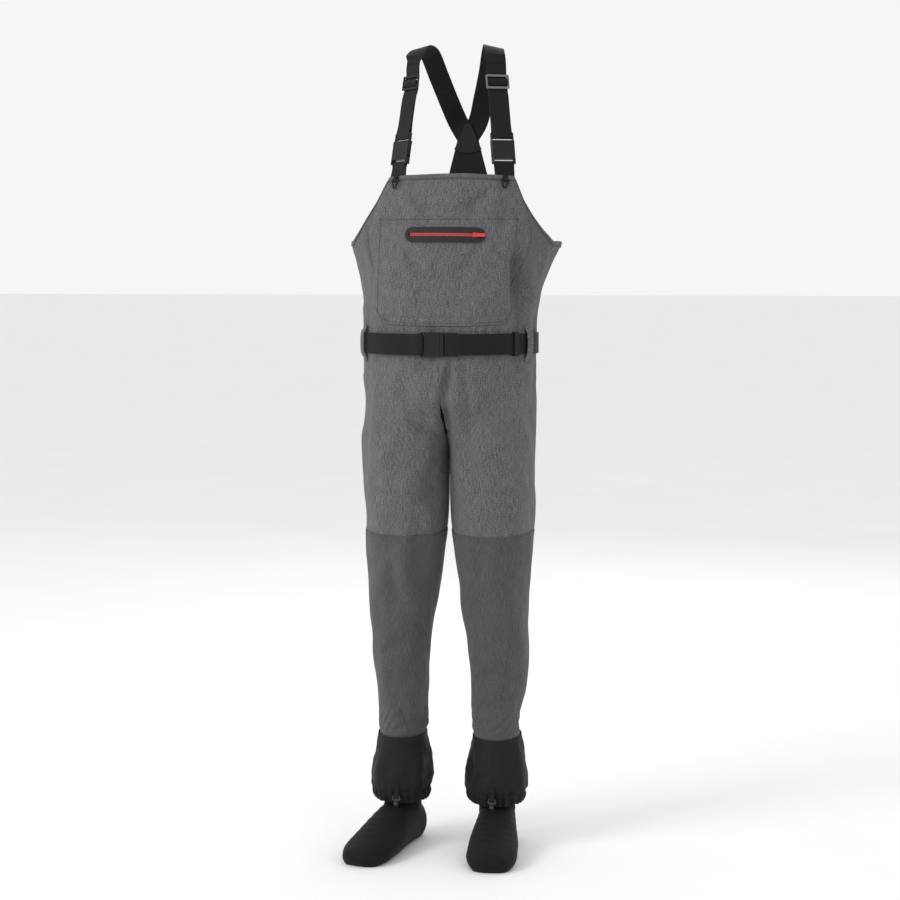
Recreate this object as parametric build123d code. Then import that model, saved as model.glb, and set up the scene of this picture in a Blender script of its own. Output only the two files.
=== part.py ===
from build123d import *
from math import cos, degrees, radians, sin, sqrt
import os

# Stocking-foot chest waders: a fabric bib and trousers on braces, with a zipped chest pocket,
# a waist belt, black ankle gaiters and neoprene socks. Millimetres.
# +X is the wearer's left, the wearer faces -Y, and +Z is up. Heights are given above the soles,
# and the finished pieces are then lowered, so that the origin lies under the straps at the
# shoulders, halfway between them.

# ---------------------------------------------------------------- heights above the soles
shoulder_height = 1484.0        # underside of the straps at their highest point
bib_top_height = 1246.0         # upper edge of the bib at the straps
bib_crown = 5.0                 # how much higher the middle of that edge is
side_height = 1130.0            # where the armholes meet the side seams
back_height = 1118.0            # upper edge of the back panel in the middle
belt_height = 945.0             # middle of the waist belt
crotch_height = 746.0
knee_height = 592.0             # seam between the thigh and the reinforced shin
leg_hem_height = 205.0          # where the leg ends and the sock begins
gaiter_top_height = 212.0
gaiter_hem_height = 86.0

# ---------------------------------------------------------------- body of the garment
waist_half_width = 160.0
waist_half_depth = 119.0
hip_half_width = 158.0
hip_half_depth = 122.0
chest_half_width = 196.0        # at the side seams' upper ends
chest_half_depth = 119.0
bib_half_width = 143.0          # of the oval that the bib's upper edge lies on
bib_half_depth = 104.0
bib_corner = 114.0              # from the middle to the bib's upper corners
upper_sway = 14.0               # how far the braces and the bib's top stand to the left
fabric_wall = 1.4
neoprene_wall = 3.5
skin_gap = 0.4                  # between a sewn-on layer and the fabric under it

# ---------------------------------------------------------------- legs
leg_spacing = 90.0              # from the middle to the ankle's axis
thigh_half_width = 80.0
thigh_half_depth = 108.0
knee_half_width = 75.0
knee_half_depth = 86.0
ankle_half_width = 42.5
ankle_half_depth = 50.0

# ---------------------------------------------------------------- gaiters, socks and hooks
gaiter_wall = 1.2
gaiter_half_width = 58.0        # at the widest
gaiter_half_depth = 64.0
hem_half_width = 48.0
hem_half_depth = 54.0
elastic_height = 10.0
elastic_thickness = 1.5
sock_sole_thickness = 4.5
foot_length = 268.0
foot_half_width = 47.0
heel_reach = 60.0               # from the ankle's axis back to the heel
right_foot_turn = 14.0          # degrees outward
left_foot_turn = 4.0
hook_width = 9.0
hook_metal = 1.2
hook_head = 9.0                 # height of the hook's ring
hook_bar = 0.85                 # radius of the bar that the hook swings on
hook_bar_drop = 18.0            # from the tab's seam down to that bar
hook_bar_out = 3.6              # from the gaiter's widest point out to that bar

# ---------------------------------------------------------------- webbing and buckles
webbing_width = 38.0
strap_thickness = 1.4
belt_thickness = 2.0
layer_gap = 0.3                 # between webbing and what it passes
side_play = 0.6                 # between webbing and a slot's ends
buckle_wall = 2.4
buckle_thickness = 10.6
buckle_bar = 3.4
buckle_slot = 4.4
bar_half_thickness = 1.6        # of the bars that webbing is folded round
socket_length = 36.0
strap_plug_length = 22.0
belt_plug_length = 33.0
prong_width = 3.5
prong_play = 0.3
window_low = 12.0               # the side windows of a socket, above its end
window_high = 23.0
plug_base = 6.4                 # height of the plug's solid root
plug_frame = 5.0                # thickness of the plug's webbing frame
cavity_wall = 2.0               # of the socket's front and back
strap_half_spacing = 98.0       # from the middle of the bib to each strap
strap_lean_in = 0.105           # sideways per unit of height
strap_lean_back = 0.187
right_strap_turn = -42.0        # degrees the right strap's face is turned about its length
left_strap_turn = 28.0
stub_clear = 2.8                # between the curved bib and the flat stub sewn inside it
buckle_rise = 26.0              # from the bib's edge to the buckle's lower end
adjuster_rise = 178.0           # from the bib's edge to the middle of the adjuster
adjuster_height = 26.0
adjuster_thickness = 3.0
adjuster_bar = 3.8

# ---------------------------------------------------------------- cross patch behind the shoulders
patch_height = 50.0
patch_low_width = 52.0
patch_top_width = 10.0
patch_thickness = 1.5
cross_height = 1325.0
cross_depth = 130.0             # behind the middle of the body

# ---------------------------------------------------------------- belt, loops and keeper
belt_clear = 3.2                # between the belt and the fabric
keeper_wall = 1.0
keeper_outer_wall = 2.0
keeper_width = 9.0
keeper_angle = 53.0             # degrees round the waist from the front
side_loop_angle = 68.0
rear_loop_angle = 140.0
loop_width = 18.0
loop_height = 66.0
loop_thickness = 1.2
buckle_depth = waist_half_depth + buckle_thickness / 2 + 0.8

# ---------------------------------------------------------------- pocket and zip
pocket_wall = 1.2
pocket_half_width = 128.0
pocket_top_height = 1172.0
pocket_bottom_height = 978.0
zip_height = 1142.0
zip_tilt = 2.0                  # degrees, higher towards the left
window_length = 146.0
window_width = 27.0
window_thickness = 1.5
zip_slot_length = 134.0
zip_slot_width = 6.8
coil_width = 2.7                # of each row
coil_gap = 0.2
coil_thickness = 1.9
slider_length = 10.0
slider_width = 8.0
slider_thickness = 2.6
slider_place = 55.0             # along the zip from its middle, when closed
pull_length = 18.0
pull_width = 6.0
pull_thickness = 1.5
knuckle_radius = 1.2
tape_thickness = 0.7
tape_out = 0.5                  # distances out from the pocket's outer face
coil_out = tape_out + tape_thickness
window_out = coil_out + 0.2
slider_out = window_out + window_thickness + 0.4
pull_axis_out = slider_out + slider_thickness + 1.3

# ---------------------------------------------------------------- accessory rings and their tabs
ring_wire = 2.4
ring_width = 18.0
ring_drop = 16.0
ring_below_edge = 7.0           # from the bib's edge down to the ring's bar
tab_width = 9.0
tab_thickness = 1.2
binding_width = 9.0
binding_thickness = 1.0


# ================================================================ helpers
def trunk_sections():
    """Height, half width and half depth of the trunk's ovals, from below the crotch upwards."""
    return [
        (crotch_height + 26, 0.32 * hip_half_width, 0.37 * hip_half_depth),
        (crotch_height + 56, 0.75 * hip_half_width, 0.73 * hip_half_depth),
        (crotch_height + 114, hip_half_width, hip_half_depth),
        (belt_height, waist_half_width, waist_half_depth),
        (belt_height + 75, waist_half_width + 3, waist_half_depth - 1),
        (side_height - 40, 0.92 * chest_half_width, chest_half_depth),
        (side_height + 8, chest_half_width, chest_half_depth),
        (side_height + 60, 0.53 * (chest_half_width + bib_half_width),
         0.506 * (chest_half_depth + bib_half_depth)),
        (bib_top_height + 10, bib_half_width, bib_half_depth),
    ]


def leg_sections():
    """Height, distance of the axis from the middle, half width and half depth of a leg's ovals."""
    shin = knee_height - leg_hem_height
    return [
        (crotch_height + 154, 0.78 * leg_spacing, thigh_half_width, 0.96 * thigh_half_depth),
        (crotch_height + 84, 0.82 * leg_spacing, 1.1 * thigh_half_width, 1.07 * thigh_half_depth),
        (crotch_height - 6, thigh_half_width + 1, thigh_half_width, thigh_half_depth),
        (knee_height + 41, thigh_half_width + 0.5, thigh_half_width - 2, knee_half_depth + 6),
        (knee_height, 0.9 * leg_spacing, knee_half_width, knee_half_depth),
        (leg_hem_height + 0.65 * shin, 0.98 * leg_spacing, 0.83 * knee_half_width, 0.84 * knee_half_depth),
        (leg_hem_height + 0.36 * shin, 1.02 * leg_spacing, 0.71 * knee_half_width, 0.72 * knee_half_depth),
        (leg_hem_height + 27, leg_spacing, ankle_half_width + 0.5, ankle_half_depth + 2),
        (leg_hem_height - 30, leg_spacing, ankle_half_width - 0.5, ankle_half_depth - 2),
    ]


def sway(height):
    """How far the middle of the garment stands to the left at a height."""
    return upper_sway * max(0.0, height - belt_height) / (bib_top_height - belt_height)


def between(low, high, share):
    return low + (high - low) * share


def trunk_axes(height):
    """The trunk's half width and half depth at a height, straight from one oval to the next."""
    rows = trunk_sections()
    for below, above in zip(rows, rows[1:]):
        if height <= above[0] or above is rows[-1]:
            share = (height - below[0]) / (above[0] - below[0])
            return between(below[1], above[1], share), between(below[2], above[2], share)


def trunk(offset):
    """The trunk as a solid, grown all round by offset."""
    ovals = []
    for height, half_width, half_depth in trunk_sections():
        oval = Ellipse(half_width + offset, half_depth + offset)
        ovals.append(Pos(sway(height), 0, height) * oval)
    return loft(ovals, ruled=True)


def leg(side, offset):
    """One leg as a solid, grown all round by offset. side is -1 on the right and 1 on the left."""
    ovals = []
    for height, axis, half_width, half_depth in reversed(leg_sections()):
        oval = Ellipse(half_width + offset, half_depth + offset)
        ovals.append(Pos(side * axis, 0, height) * oval)
    return loft(ovals, ruled=True)


def block(low, high):
    """A box from its lowest to its highest corner."""
    size = [high[i] - low[i] for i in range(3)]
    middle = [(high[i] + low[i]) / 2 for i in range(3)]
    return Pos(*middle) * Box(*size)


def surface_point(along, height, front=True, offset=0.0):
    """The point on the trunk at a distance along X from its middle, and the way out of it."""
    half_width, half_depth = trunk_axes(height)
    half_width += offset
    half_depth += offset
    depth = half_depth * sqrt(1 - (along / half_width) ** 2)
    if front:
        depth = -depth
    outward = Vector(along / half_width**2, depth / half_depth**2, 0).normalized()
    return Vector(sway(height) + along, depth, height), outward


def surface_frame(along, height, front=True, offset=0.0):
    """A frame on the trunk: local Z runs up the fabric and local Y goes into it."""
    point, outward = surface_point(along, height, front, offset)
    above, _ = surface_point(along, height + 5, front, offset)
    below, _ = surface_point(along, height - 5, front, offset)
    up = (above - below).normalized()
    across = (outward * -1).cross(up).normalized()
    return Plane(origin=point, x_dir=across, z_dir=up)


def waist_frame(angle, offset=0.0):
    """A frame on the waist oval, angle degrees round from the front towards the left."""
    half_width = waist_half_width + offset
    half_depth = waist_half_depth + offset
    turn = radians(angle)
    point = Vector(half_width * sin(turn), -half_depth * cos(turn), belt_height)
    outward = Vector(sin(turn) / half_width, -cos(turn) / half_depth, 0).normalized()
    across = (outward * -1).cross(Vector(0, 0, 1)).normalized()
    return Plane(origin=point, x_dir=across, z_dir=(0, 0, 1))


def band_outline(points, thickness):
    """A face of even thickness along a line of (x, y) points, with mitred corners."""
    sides = []
    for start, end in zip(points, points[1:]):
        length = sqrt((end[0] - start[0]) ** 2 + (end[1] - start[1]) ** 2)
        sides.append(((start[1] - end[1]) / length, (end[0] - start[0]) / length))
    left, right = [], []
    for i, (x, y) in enumerate(points):
        before = sides[max(i - 1, 0)]
        after = sides[min(i, len(sides) - 1)]
        lean = 1 + before[0] * after[0] + before[1] * after[1]
        reach_x = thickness / 2 * (before[0] + after[0]) / lean
        reach_y = thickness / 2 * (before[1] + after[1]) / lean
        left.append((x + reach_x, y + reach_y))
        right.append((x - reach_x, y - reach_y))
    return make_face(Polyline(*left, *reversed(right), close=True))


def band(points, thickness, width):
    """A band of webbing or sheet metal bent in the local YZ plane, as wide as width along X."""
    return extrude(Plane.YZ * band_outline(points, thickness), amount=width / 2, both=True)


def ring_plate(width, height, thickness, bar, slot_ends):
    """A flat rectangular ring in the local XZ plane."""
    outer = Rectangle(width, height)
    outer = fillet(outer.vertices(), bar * 0.7)
    hole = Rectangle(width - 2 * slot_ends, height - 2 * bar)
    return extrude(Plane.XZ * (outer - hole), amount=thickness / 2, both=True)


# ================================================================ the garment's panels
def garment():
    """The bib, the trouser legs and their shins, as thin panels."""
    outer = trunk(0) + leg(-1, 0) + leg(1, 0)
    inner = trunk(-fabric_wall) + leg(-1, -fabric_wall) + leg(1, -fabric_wall)
    shell = outer - inner
    reach = chest_half_width + 60
    top = bib_top_height + 100
    front = block((-reach, -reach, 0), (reach, 0, top))
    back = block((-reach, 0, 0), (reach, reach, top))
    right = block((-reach, -reach, 0), (0, reach, top))
    left = block((0, -reach, 0), (reach, reach, top))
    bib = block((-reach, -reach, belt_height), (reach, reach, top))
    thigh = block((-reach, -reach, knee_height), (reach, reach, belt_height))
    shin = block((-reach, -reach, leg_hem_height), (reach, reach, knee_height))
    panels = {
        "bib_front_panel": shell & bib & front & bib_outline(0),
        "bib_back_panel": shell & bib & back & back_outline(0),
    }
    for name, half in (("right", right), ("left", left)):
        panels[name + "_thigh_front_panel"] = shell & thigh & front & half
        panels[name + "_thigh_back_panel"] = shell & thigh & back & half
        panels[name + "_shin_panel"] = shell & shin & front & half
        panels[name + "_calf_panel"] = shell & shin & back & half
    return panels


def bib_outline(drop):
    """Everything below the bib's upper edge and its armholes, lowered by drop."""
    middle = sway(bib_top_height)
    low = sway(side_height)
    side = chest_half_width + 8
    corner_left = (middle - bib_corner, bib_top_height - drop)
    corner_right = (middle + bib_corner, bib_top_height - drop)
    armhole = 0.95 * chest_half_width
    armhole_left = (low - armhole, side_height - drop)
    armhole_right = (low + armhole, side_height - drop)
    edge = ThreePointArc(corner_left, (middle, bib_top_height + bib_crown - drop), corner_right)
    hollow_left = (
        between(armhole_left[0], corner_left[0], 0.5) + 5,
        between(armhole_left[1], corner_left[1], 0.5) - 4,
    )
    hollow_right = (
        between(armhole_right[0], corner_right[0], 0.5) - 5,
        between(armhole_right[1], corner_right[1], 0.5) - 4,
    )
    outline = Polyline(armhole_left, (low - side, side_height - drop), (low - side, 0), (low + side, 0),
                       (low + side, side_height - drop), armhole_right)
    outline += ThreePointArc(armhole_right, hollow_right, corner_right)
    outline += edge
    outline += ThreePointArc(corner_left, hollow_left, armhole_left)
    return extrude(Plane.XZ * make_face(outline), amount=chest_half_depth + 60, both=True)


def back_outline(drop):
    """Everything below the back panel's upper edge, lowered by drop."""
    side = chest_half_width + 30
    ends = side_height + 2 * (side_height - back_height) * 0.1 - drop
    outline = Polyline((-side, ends), (-side, 0), (side, 0), (side, ends))
    outline += ThreePointArc((-side, ends), (0, back_height - drop), (side, ends))
    return extrude(Plane.XZ * make_face(outline), amount=chest_half_depth + 60, both=True)


def bindings():
    """The narrow edging on the upper edges of the bib and of the back panel."""
    cover = trunk(skin_gap + binding_thickness) - trunk(skin_gap)
    reach = chest_half_width + 60
    top = bib_top_height + 100
    front = block((-reach, -reach, side_height - 30), (reach, -0.3, top))
    back = block((-reach, 0.3, belt_height + 60), (reach, reach, top))
    bib_edge = bib_outline(0) - bib_outline(binding_width)
    back_edge = back_outline(0) - back_outline(binding_width)
    return {
        "bib_binding": cover & front & bib_edge,
        "back_binding": cover & back & back_edge,
    }


# ================================================================ feet
def foot_solid(offset, floor):
    """A foot along -Y with its ankle's axis at the origin, grown by offset and flat at floor."""
    toe = foot_length - heel_reach
    rows = [
        (heel_reach, 0.42 * foot_half_width, 42),
        (0.6 * heel_reach, 0.70 * foot_half_width, 76),
        (0, 0.76 * foot_half_width, 90),
        (-0.24 * toe, 0.86 * foot_half_width, 82),
        (-0.5 * toe, 0.98 * foot_half_width, 62),
        (-0.75 * toe, foot_half_width, 47),
        (-0.91 * toe, 0.80 * foot_half_width, 37),
        (-toe, 0.42 * foot_half_width, 26),
    ]
    sink = 10.0
    ovals = []
    for place, half_width, top in rows:
        half_height = (top + sink) / 2
        end = 0.0
        if place in (rows[0][0], rows[-1][0]):
            end = offset if place > 0 else -offset
        oval = Ellipse(half_width + offset, half_height + offset)
        ovals.append(Plane.XZ.offset(-(place + end)) * Pos(0, half_height - sink) * oval)
    solid = loft(ovals, ruled=True)
    return solid & block((-200, -400, floor), (200, 400, 400))


def ankle_tube(offset, top):
    """The sock's upright part, grown by offset."""
    rows = [
        (60, ankle_half_width - 8.5, ankle_half_depth - 12),
        (100, ankle_half_width - 7.5, ankle_half_depth - 10),
        (150, ankle_half_width - 5.5, ankle_half_depth - 7),
        (top, ankle_half_width - 2.0, ankle_half_depth - 2.0),
    ]
    ovals = [Pos(0, 0, height) * Ellipse(a + offset, b + offset) for height, a, b in rows]
    return loft(ovals, ruled=True)


def sock(side, turn):
    """The neoprene sock: its upper and, below it, its sole."""
    top = leg_hem_height
    outer = foot_solid(0, 0) + ankle_tube(0, top)
    inner = foot_solid(-neoprene_wall, sock_sole_thickness) + ankle_tube(-neoprene_wall, top)
    upper = (outer - inner) & block((-200, -400, sock_sole_thickness), (200, 400, top))
    sole = outer & block((-200, -400, 0), (200, 400, sock_sole_thickness))
    place = Pos(side * leg_spacing, 0, 0) * Rot(0, 0, side * turn)
    return place * upper, place * sole


def gaiter_sections():
    """Height, half width, half depth and how far forward the gaiter's ovals stand."""
    collar = ankle_half_width + 0.7 + skin_gap + gaiter_wall
    collar_depth = ankle_half_depth + 1.0 + skin_gap + gaiter_wall
    tall = gaiter_top_height - gaiter_hem_height
    return [
        (gaiter_hem_height, hem_half_width, hem_half_depth, 8.0),
        (gaiter_hem_height + 0.1 * tall, 0.93 * gaiter_half_width, 0.94 * gaiter_half_depth, 8.0),
        (gaiter_hem_height + 0.27 * tall, gaiter_half_width, gaiter_half_depth, 6.0),
        (gaiter_hem_height + 0.64 * tall, 0.92 * gaiter_half_width, 0.94 * gaiter_half_depth, 2.0),
        (gaiter_top_height, collar, collar_depth, 0.0),
    ]


def gaiter_solid(side, offset):
    ovals = []
    for height, half_width, half_depth, forward in gaiter_sections():
        oval = Ellipse(half_width + offset, half_depth + offset)
        ovals.append(Pos(side * leg_spacing, -forward, height) * oval)
    return loft(ovals, ruled=True)


def gaiter(side):
    """The gaiter and the elastic band inside its hem."""
    cover = gaiter_solid(side, 0) - gaiter_solid(side, -gaiter_wall)
    inside = -gaiter_wall - 0.3
    hem = gaiter_solid(side, inside) - gaiter_solid(side, inside - elastic_thickness)
    low = gaiter_hem_height
    elastic = hem & block((-300, -300, low), (300, 300, low + elastic_height))
    return cover, elastic


def hook_frame(side):
    """A frame on the front of the gaiter at its widest, where the hook's tab is sewn."""
    height, _, half_depth, forward = gaiter_sections()[2]
    origin = (side * leg_spacing, -forward - half_depth, height)
    return Plane(origin=origin, x_dir=(1, 0, 0), z_dir=(0, 0, 1))


def lace_hook(side):
    """The tab on the gaiter and the lace hook that swings in its fold."""
    frame = hook_frame(side)
    fold = 1.1 + layer_gap + tab_thickness / 2
    bar_y, bar_z = -hook_bar_out, -hook_bar_drop
    inner = bar_y + fold
    outer = bar_y - fold
    tab_points = [
        (inner - 0.6, 8.0),
        (inner - 0.6, bar_z + 6.0),
        (inner, bar_z - 1.4),
        (inner - 0.5, bar_z - 2.1),
        (outer + 0.5, bar_z - 2.1),
        (outer, bar_z - 1.4),
        (inner - 0.9 - tab_thickness, bar_z + 6.0),
        (inner - 0.9 - tab_thickness, 2.0),
    ]
    tab = band(tab_points, tab_thickness, hook_width - 1.0)
    head = Rectangle(hook_width + 6.0, hook_head)
    head = fillet(head.vertices(), 1.6)
    opening = Pos(0, 1.7) * Rectangle(hook_width + 1.4, 6.0)
    plate = extrude(Plane.XZ * (head - opening), amount=hook_metal / 2, both=True)
    plate = Pos(0, bar_y, bar_z + hook_bar - hook_head / 2) * plate
    plate += Pos(0, bar_y, bar_z) * Rot(0, 90, 0) * Cylinder(hook_bar, hook_width + 2.4)
    curl = [(bar_y, bar_z - 7.3), (bar_y, bar_z - 15.0), (bar_y - 1.2, bar_z - 17.6),
            (bar_y - 3.4, bar_z - 18.4), (bar_y - 5.6, bar_z - 17.2), (bar_y - 6.4, bar_z - 14.6),
            (bar_y - 6.0, bar_z - 10.5)]
    hook = plate + band(curl, hook_metal, hook_width - 2.0)
    return frame.location * tab, frame.location * hook


# ================================================================ buckles
def buckle_width():
    return webbing_width + 2 * side_play + 2 * buckle_wall


def prong_root():
    """How far from the buckle's middle, and how high above its end, each prong's root is."""
    cavity_half = buckle_width() / 2 - buckle_wall - 1.2
    across = cavity_half - prong_play - prong_width / 2 - 1.0
    return across, socket_length + prong_play + prong_width / 2 + 0.4


def buckle(plug_length):
    """A side-release buckle lying along local Z with its socket's end bar at 0.

    Returns the socket, the plug and the prongs at -X and +X. Webbing lies in the local XZ plane."""
    slot_width = webbing_width + 2 * side_play
    width = buckle_width()
    mouth = socket_length
    floor = buckle_bar + buckle_slot + 1.4
    cavity_half = width / 2 - buckle_wall - 1.2
    cavity_thick = buckle_thickness - 2 * cavity_wall
    body = Pos(0, 0, mouth / 2) * Box(width, buckle_thickness, mouth)
    body = fillet(body.edges().filter_by(Axis.Z), 2.2)
    body -= block((-cavity_half, -cavity_thick / 2, floor), (cavity_half, cavity_thick / 2, mouth + 1))
    low = buckle_bar
    body -= block((-slot_width / 2, -20, low), (slot_width / 2, 20, low + buckle_slot))
    window = block((-width, -cavity_thick / 2, window_low), (width, cavity_thick / 2, window_high))
    socket = body - window
    for y in (-1, 1):
        edge = y * buckle_thickness
        inner = y * bar_half_thickness
        socket -= block((-slot_width / 2, min(edge, inner), -1), (slot_width / 2, max(edge, inner), low))

    start = mouth + prong_play
    end = mouth + plug_length
    base_top = start + plug_base
    plug = Pos(0, 0, (start + base_top) / 2) * Box(width - 1.0, buckle_thickness - 1.0, base_top - start)
    frame = block((-width / 2 + 0.5, -plug_frame / 2, base_top), (width / 2 - 0.5, plug_frame / 2, end))
    frame = fillet(frame.edges().filter_by(Axis.Y).group_by(Axis.Z)[-1], 3.0)
    plug += frame
    bar_low = base_top + buckle_slot
    slot = block((-slot_width / 2, -20, base_top), (slot_width / 2, 20, bar_low))
    plug -= slot
    plug -= block((-slot_width / 2, -20, bar_low + buckle_bar), (slot_width / 2, 20, end - buckle_bar))
    for y in (-1, 1):
        edge = y * plug_frame / 2
        inner = y * bar_half_thickness
        plug -= block((-slot_width / 2, min(edge, inner), bar_low - 0.01),
                      (slot_width / 2, max(edge, inner), end + 1))
    guide_thick = cavity_thick / 2 - prong_play
    guide = block((-5, -guide_thick, floor + 8), (5, guide_thick, start + 1))
    plug += guide

    prongs = []
    arm_thick = cavity_thick - 2 * prong_play
    arm, pivot = prong_root()
    for side in (-1, 1):
        x = side * arm
        recess = Cylinder(prong_width / 2 + prong_play, buckle_thickness + 2)
        recess = Pos(x, 0, pivot) * Rot(90, 0, 0) * recess
        gap = block((x - prong_width / 2 - 1.2, -20, start - 1), (x + prong_width / 2 + 1.2, 20, pivot))
        inside = block((x - prong_width, -arm_thick / 2 - prong_play, start - 1),
                       (x + prong_width, arm_thick / 2 + prong_play, base_top - 0.8))
        plug -= (recess + gap) & inside
        prong = Pos(x, 0, pivot) * Rot(90, 0, 0) * Cylinder(prong_width / 2, arm_thick)
        prong += block((x - prong_width / 2, -arm_thick / 2, window_low + 1.5),
                       (x + prong_width / 2, arm_thick / 2, pivot))
        tip = side * (width / 2 - 0.6)
        barb = make_face(Polyline((x, window_low + prong_play), (x + side * 2.0, window_low + prong_play),
                                  (tip, window_low + 5.5), (tip, window_high - prong_play),
                                  (x, window_high - prong_play), close=True))
        prong += extrude(Plane.XZ * barb, amount=arm_thick / 2, both=True)
        prongs.append(prong)
    return socket, plug, prongs[0], prongs[1]


def plug_bar_centre():
    """Height of the plug's webbing bar above the socket's end."""
    return socket_length + prong_play + plug_base + buckle_slot + buckle_bar / 2


# ================================================================ shoulder straps
def strap_axis(side):
    return Vector(-side * strap_lean_in, strap_lean_back, 1).normalized()


def strap_frame(side, rise):
    """A frame on a strap, rise along it from the bib's edge. Local Z runs up the strap."""
    turn = radians(left_strap_turn if side > 0 else right_strap_turn)
    inset = -(fabric_wall + strap_thickness + stub_clear)
    root, _ = surface_point(side * strap_half_spacing, bib_top_height - 2, offset=inset)
    axis = strap_axis(side)
    across = Vector(cos(turn), sin(turn), 0)
    across = (across - axis * across.dot(axis)).normalized()
    return Plane(origin=root + axis * rise, x_dir=across, z_dir=axis)


def strap_anchor(side):
    """The short webbing stub sewn inside the bib and folded round the socket's end bar."""
    frame = strap_frame(side, buckle_rise)
    bar_z = buckle_bar / 2
    fold = bar_half_thickness + layer_gap + strap_thickness / 2
    high = bar_z + buckle_bar / 2 + layer_gap + strap_thickness / 2
    apart = strap_thickness / 2 + 0.05
    points = [(apart, -7.0), (fold, bar_z - 1.0), (fold, high - 0.4), (fold - 0.6, high), (0.6 - fold, high),
              (-fold, high - 0.4), (-fold, bar_z - 1.0), (-apart, -7.0)]
    loop = frame.location * band(points, strap_thickness, webbing_width)
    folded = 2 * strap_thickness + 0.1
    inset = -(fabric_wall + folded / 2 + stub_clear)
    root = surface_frame(side * strap_half_spacing, bib_top_height - 26, offset=inset)
    edge = surface_frame(side * strap_half_spacing, bib_top_height - 4, offset=inset)
    start = Plane(origin=frame.from_local_coords((0, 0, -7.0)), x_dir=frame.x_dir, z_dir=frame.z_dir)
    sections = [plane * Rectangle(webbing_width, folded) for plane in (root, edge)]
    sections.append(start * Rectangle(webbing_width, folded))
    return loop + loft(sections, ruled=True)


def adjuster(side):
    """The sliding three-bar adjuster on a strap."""
    width = buckle_width()
    plate = ring_plate(width, adjuster_height, adjuster_thickness, adjuster_bar, buckle_wall)
    plate += block((-width / 2 + 1, -1.0, -1.3), (width / 2 - 1, 1.0, 1.3))
    return strap_frame(side, adjuster_rise).location * plate


def front_strap_points(bar, middle, top):
    """The strap's line in front, from its sewn end round the adjuster's middle bar and down
    behind, round the plug's bar, and up through the adjuster to the shoulder."""
    fold = bar_half_thickness + layer_gap + strap_thickness / 2
    under = bar - buckle_bar / 2 - layer_gap - strap_thickness / 2
    behind = adjuster_thickness / 2 + layer_gap + strap_thickness / 2
    lower = middle - adjuster_height / 2
    wrap = 1.0 + layer_gap + strap_thickness / 2
    second = behind + strap_thickness + layer_gap
    return [
        (wrap - 0.3, middle - 2.4), (0.6 - wrap, middle - 2.4), (-wrap, middle - 1.7), (-wrap, middle + 1.7),
        (0.6 - wrap, middle + 2.4), (wrap, middle + 2.4), (second, middle + 0.8), (second, lower - 4.0),
        (1.6, lower - 14.0), (1.6, bar + 24.0), (fold, bar + 10.5), (fold, under + 0.6), (fold - 0.6, under),
        (0.6 - fold, under), (-fold, under + 0.6), (-fold, bar + 10.5), (-0.4, bar + 24.0),
        (-0.4, lower - 14.0),
        (behind, lower - 2.0), (behind, lower + adjuster_bar + 1.6),
        (-wrap - strap_thickness - layer_gap, middle - 3.4),
        (-wrap - strap_thickness - layer_gap, middle + 3.4),
        (behind, middle + adjuster_height / 2 - adjuster_bar - 1.6),
        (behind, middle + adjuster_height / 2 + 2.0), (0.0, top),
    ]


def shoulder_strap(side):
    """One brace: up the front, over the shoulder, through the cross patch and down to the back."""
    base = strap_frame(side, 0)
    bar = buckle_rise + plug_bar_centre()
    top = adjuster_rise + 32.0
    points = front_strap_points(bar, adjuster_rise, top)
    front = base.location * band(points, strap_thickness, webbing_width)
    layer = side * (strap_thickness / 2 + 0.2)
    middle = upper_sway
    crest = shoulder_height + strap_thickness / 2
    # place beside the middle, place behind it, height, and the way the strap's face looks
    route = [
        (74, -34, crest - 18, (0.35 * side, -0.80, 0.50)),
        (69, -12, crest - 3, (0.30 * side, -0.35, 0.90)),
        (64, 14, crest, (0.22 * side, 0.0, 1.0)),
        (57, 42, crest - 10, (0.20 * side, 0.50, 0.86)),
        (47, 72 + layer, crest - 44, (0.10 * side, 0.88, 0.47)),
        (33, 103 + layer, crest - 88, (0.02 * side, 0.96, 0.28)),
        (19, cross_depth + layer, cross_height + 32, (0, 1, 0)),
        (1, cross_depth + layer, cross_height, (0, 1, 0)),
        (-9, cross_depth + layer, cross_height - 34, (0, 1, 0)),
    ]
    frames = [Plane(origin=base.from_local_coords((0, 0, top)), x_dir=base.x_dir, z_dir=base.z_dir)]
    places = [frames[0].origin]
    faces = [base.y_dir * -1]
    for beside, behind, height, face in route:
        places.append(Vector(middle + side * beside, behind, height))
        faces.append(Vector(*face))
    clear = skin_gap + binding_thickness + 0.9 + strap_thickness / 2
    low = back_height - 12.0
    for height, beside in ((between(low, cross_height, 0.35), -36), (low, -50), (low - 34, -58)):
        point, outward = surface_point(side * beside, min(height, side_height), front=False, offset=clear)
        above = max(0.0, height - back_height)
        depth = point.Y + above * 0.1 + (layer if above > 0 else 0)
        places.append(Vector(point.X if height < side_height else middle + side * beside, depth, height))
        faces.append(outward if height < side_height else Vector(0, 1, 0))
    for i in range(1, len(places)):
        ahead = places[min(i + 1, len(places) - 1)]
        tangent = (ahead - places[i - 1]).normalized()
        if i == len(places) - 1:
            tangent = (places[i] - places[i - 1]).normalized()
        across = (faces[i] * -1).cross(tangent).normalized()
        frames.append(Plane(origin=places[i], x_dir=across, z_dir=tangent))
    rear = loft([frame * Rectangle(webbing_width, strap_thickness) for frame in frames], ruled=True)
    return front + rear


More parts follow.
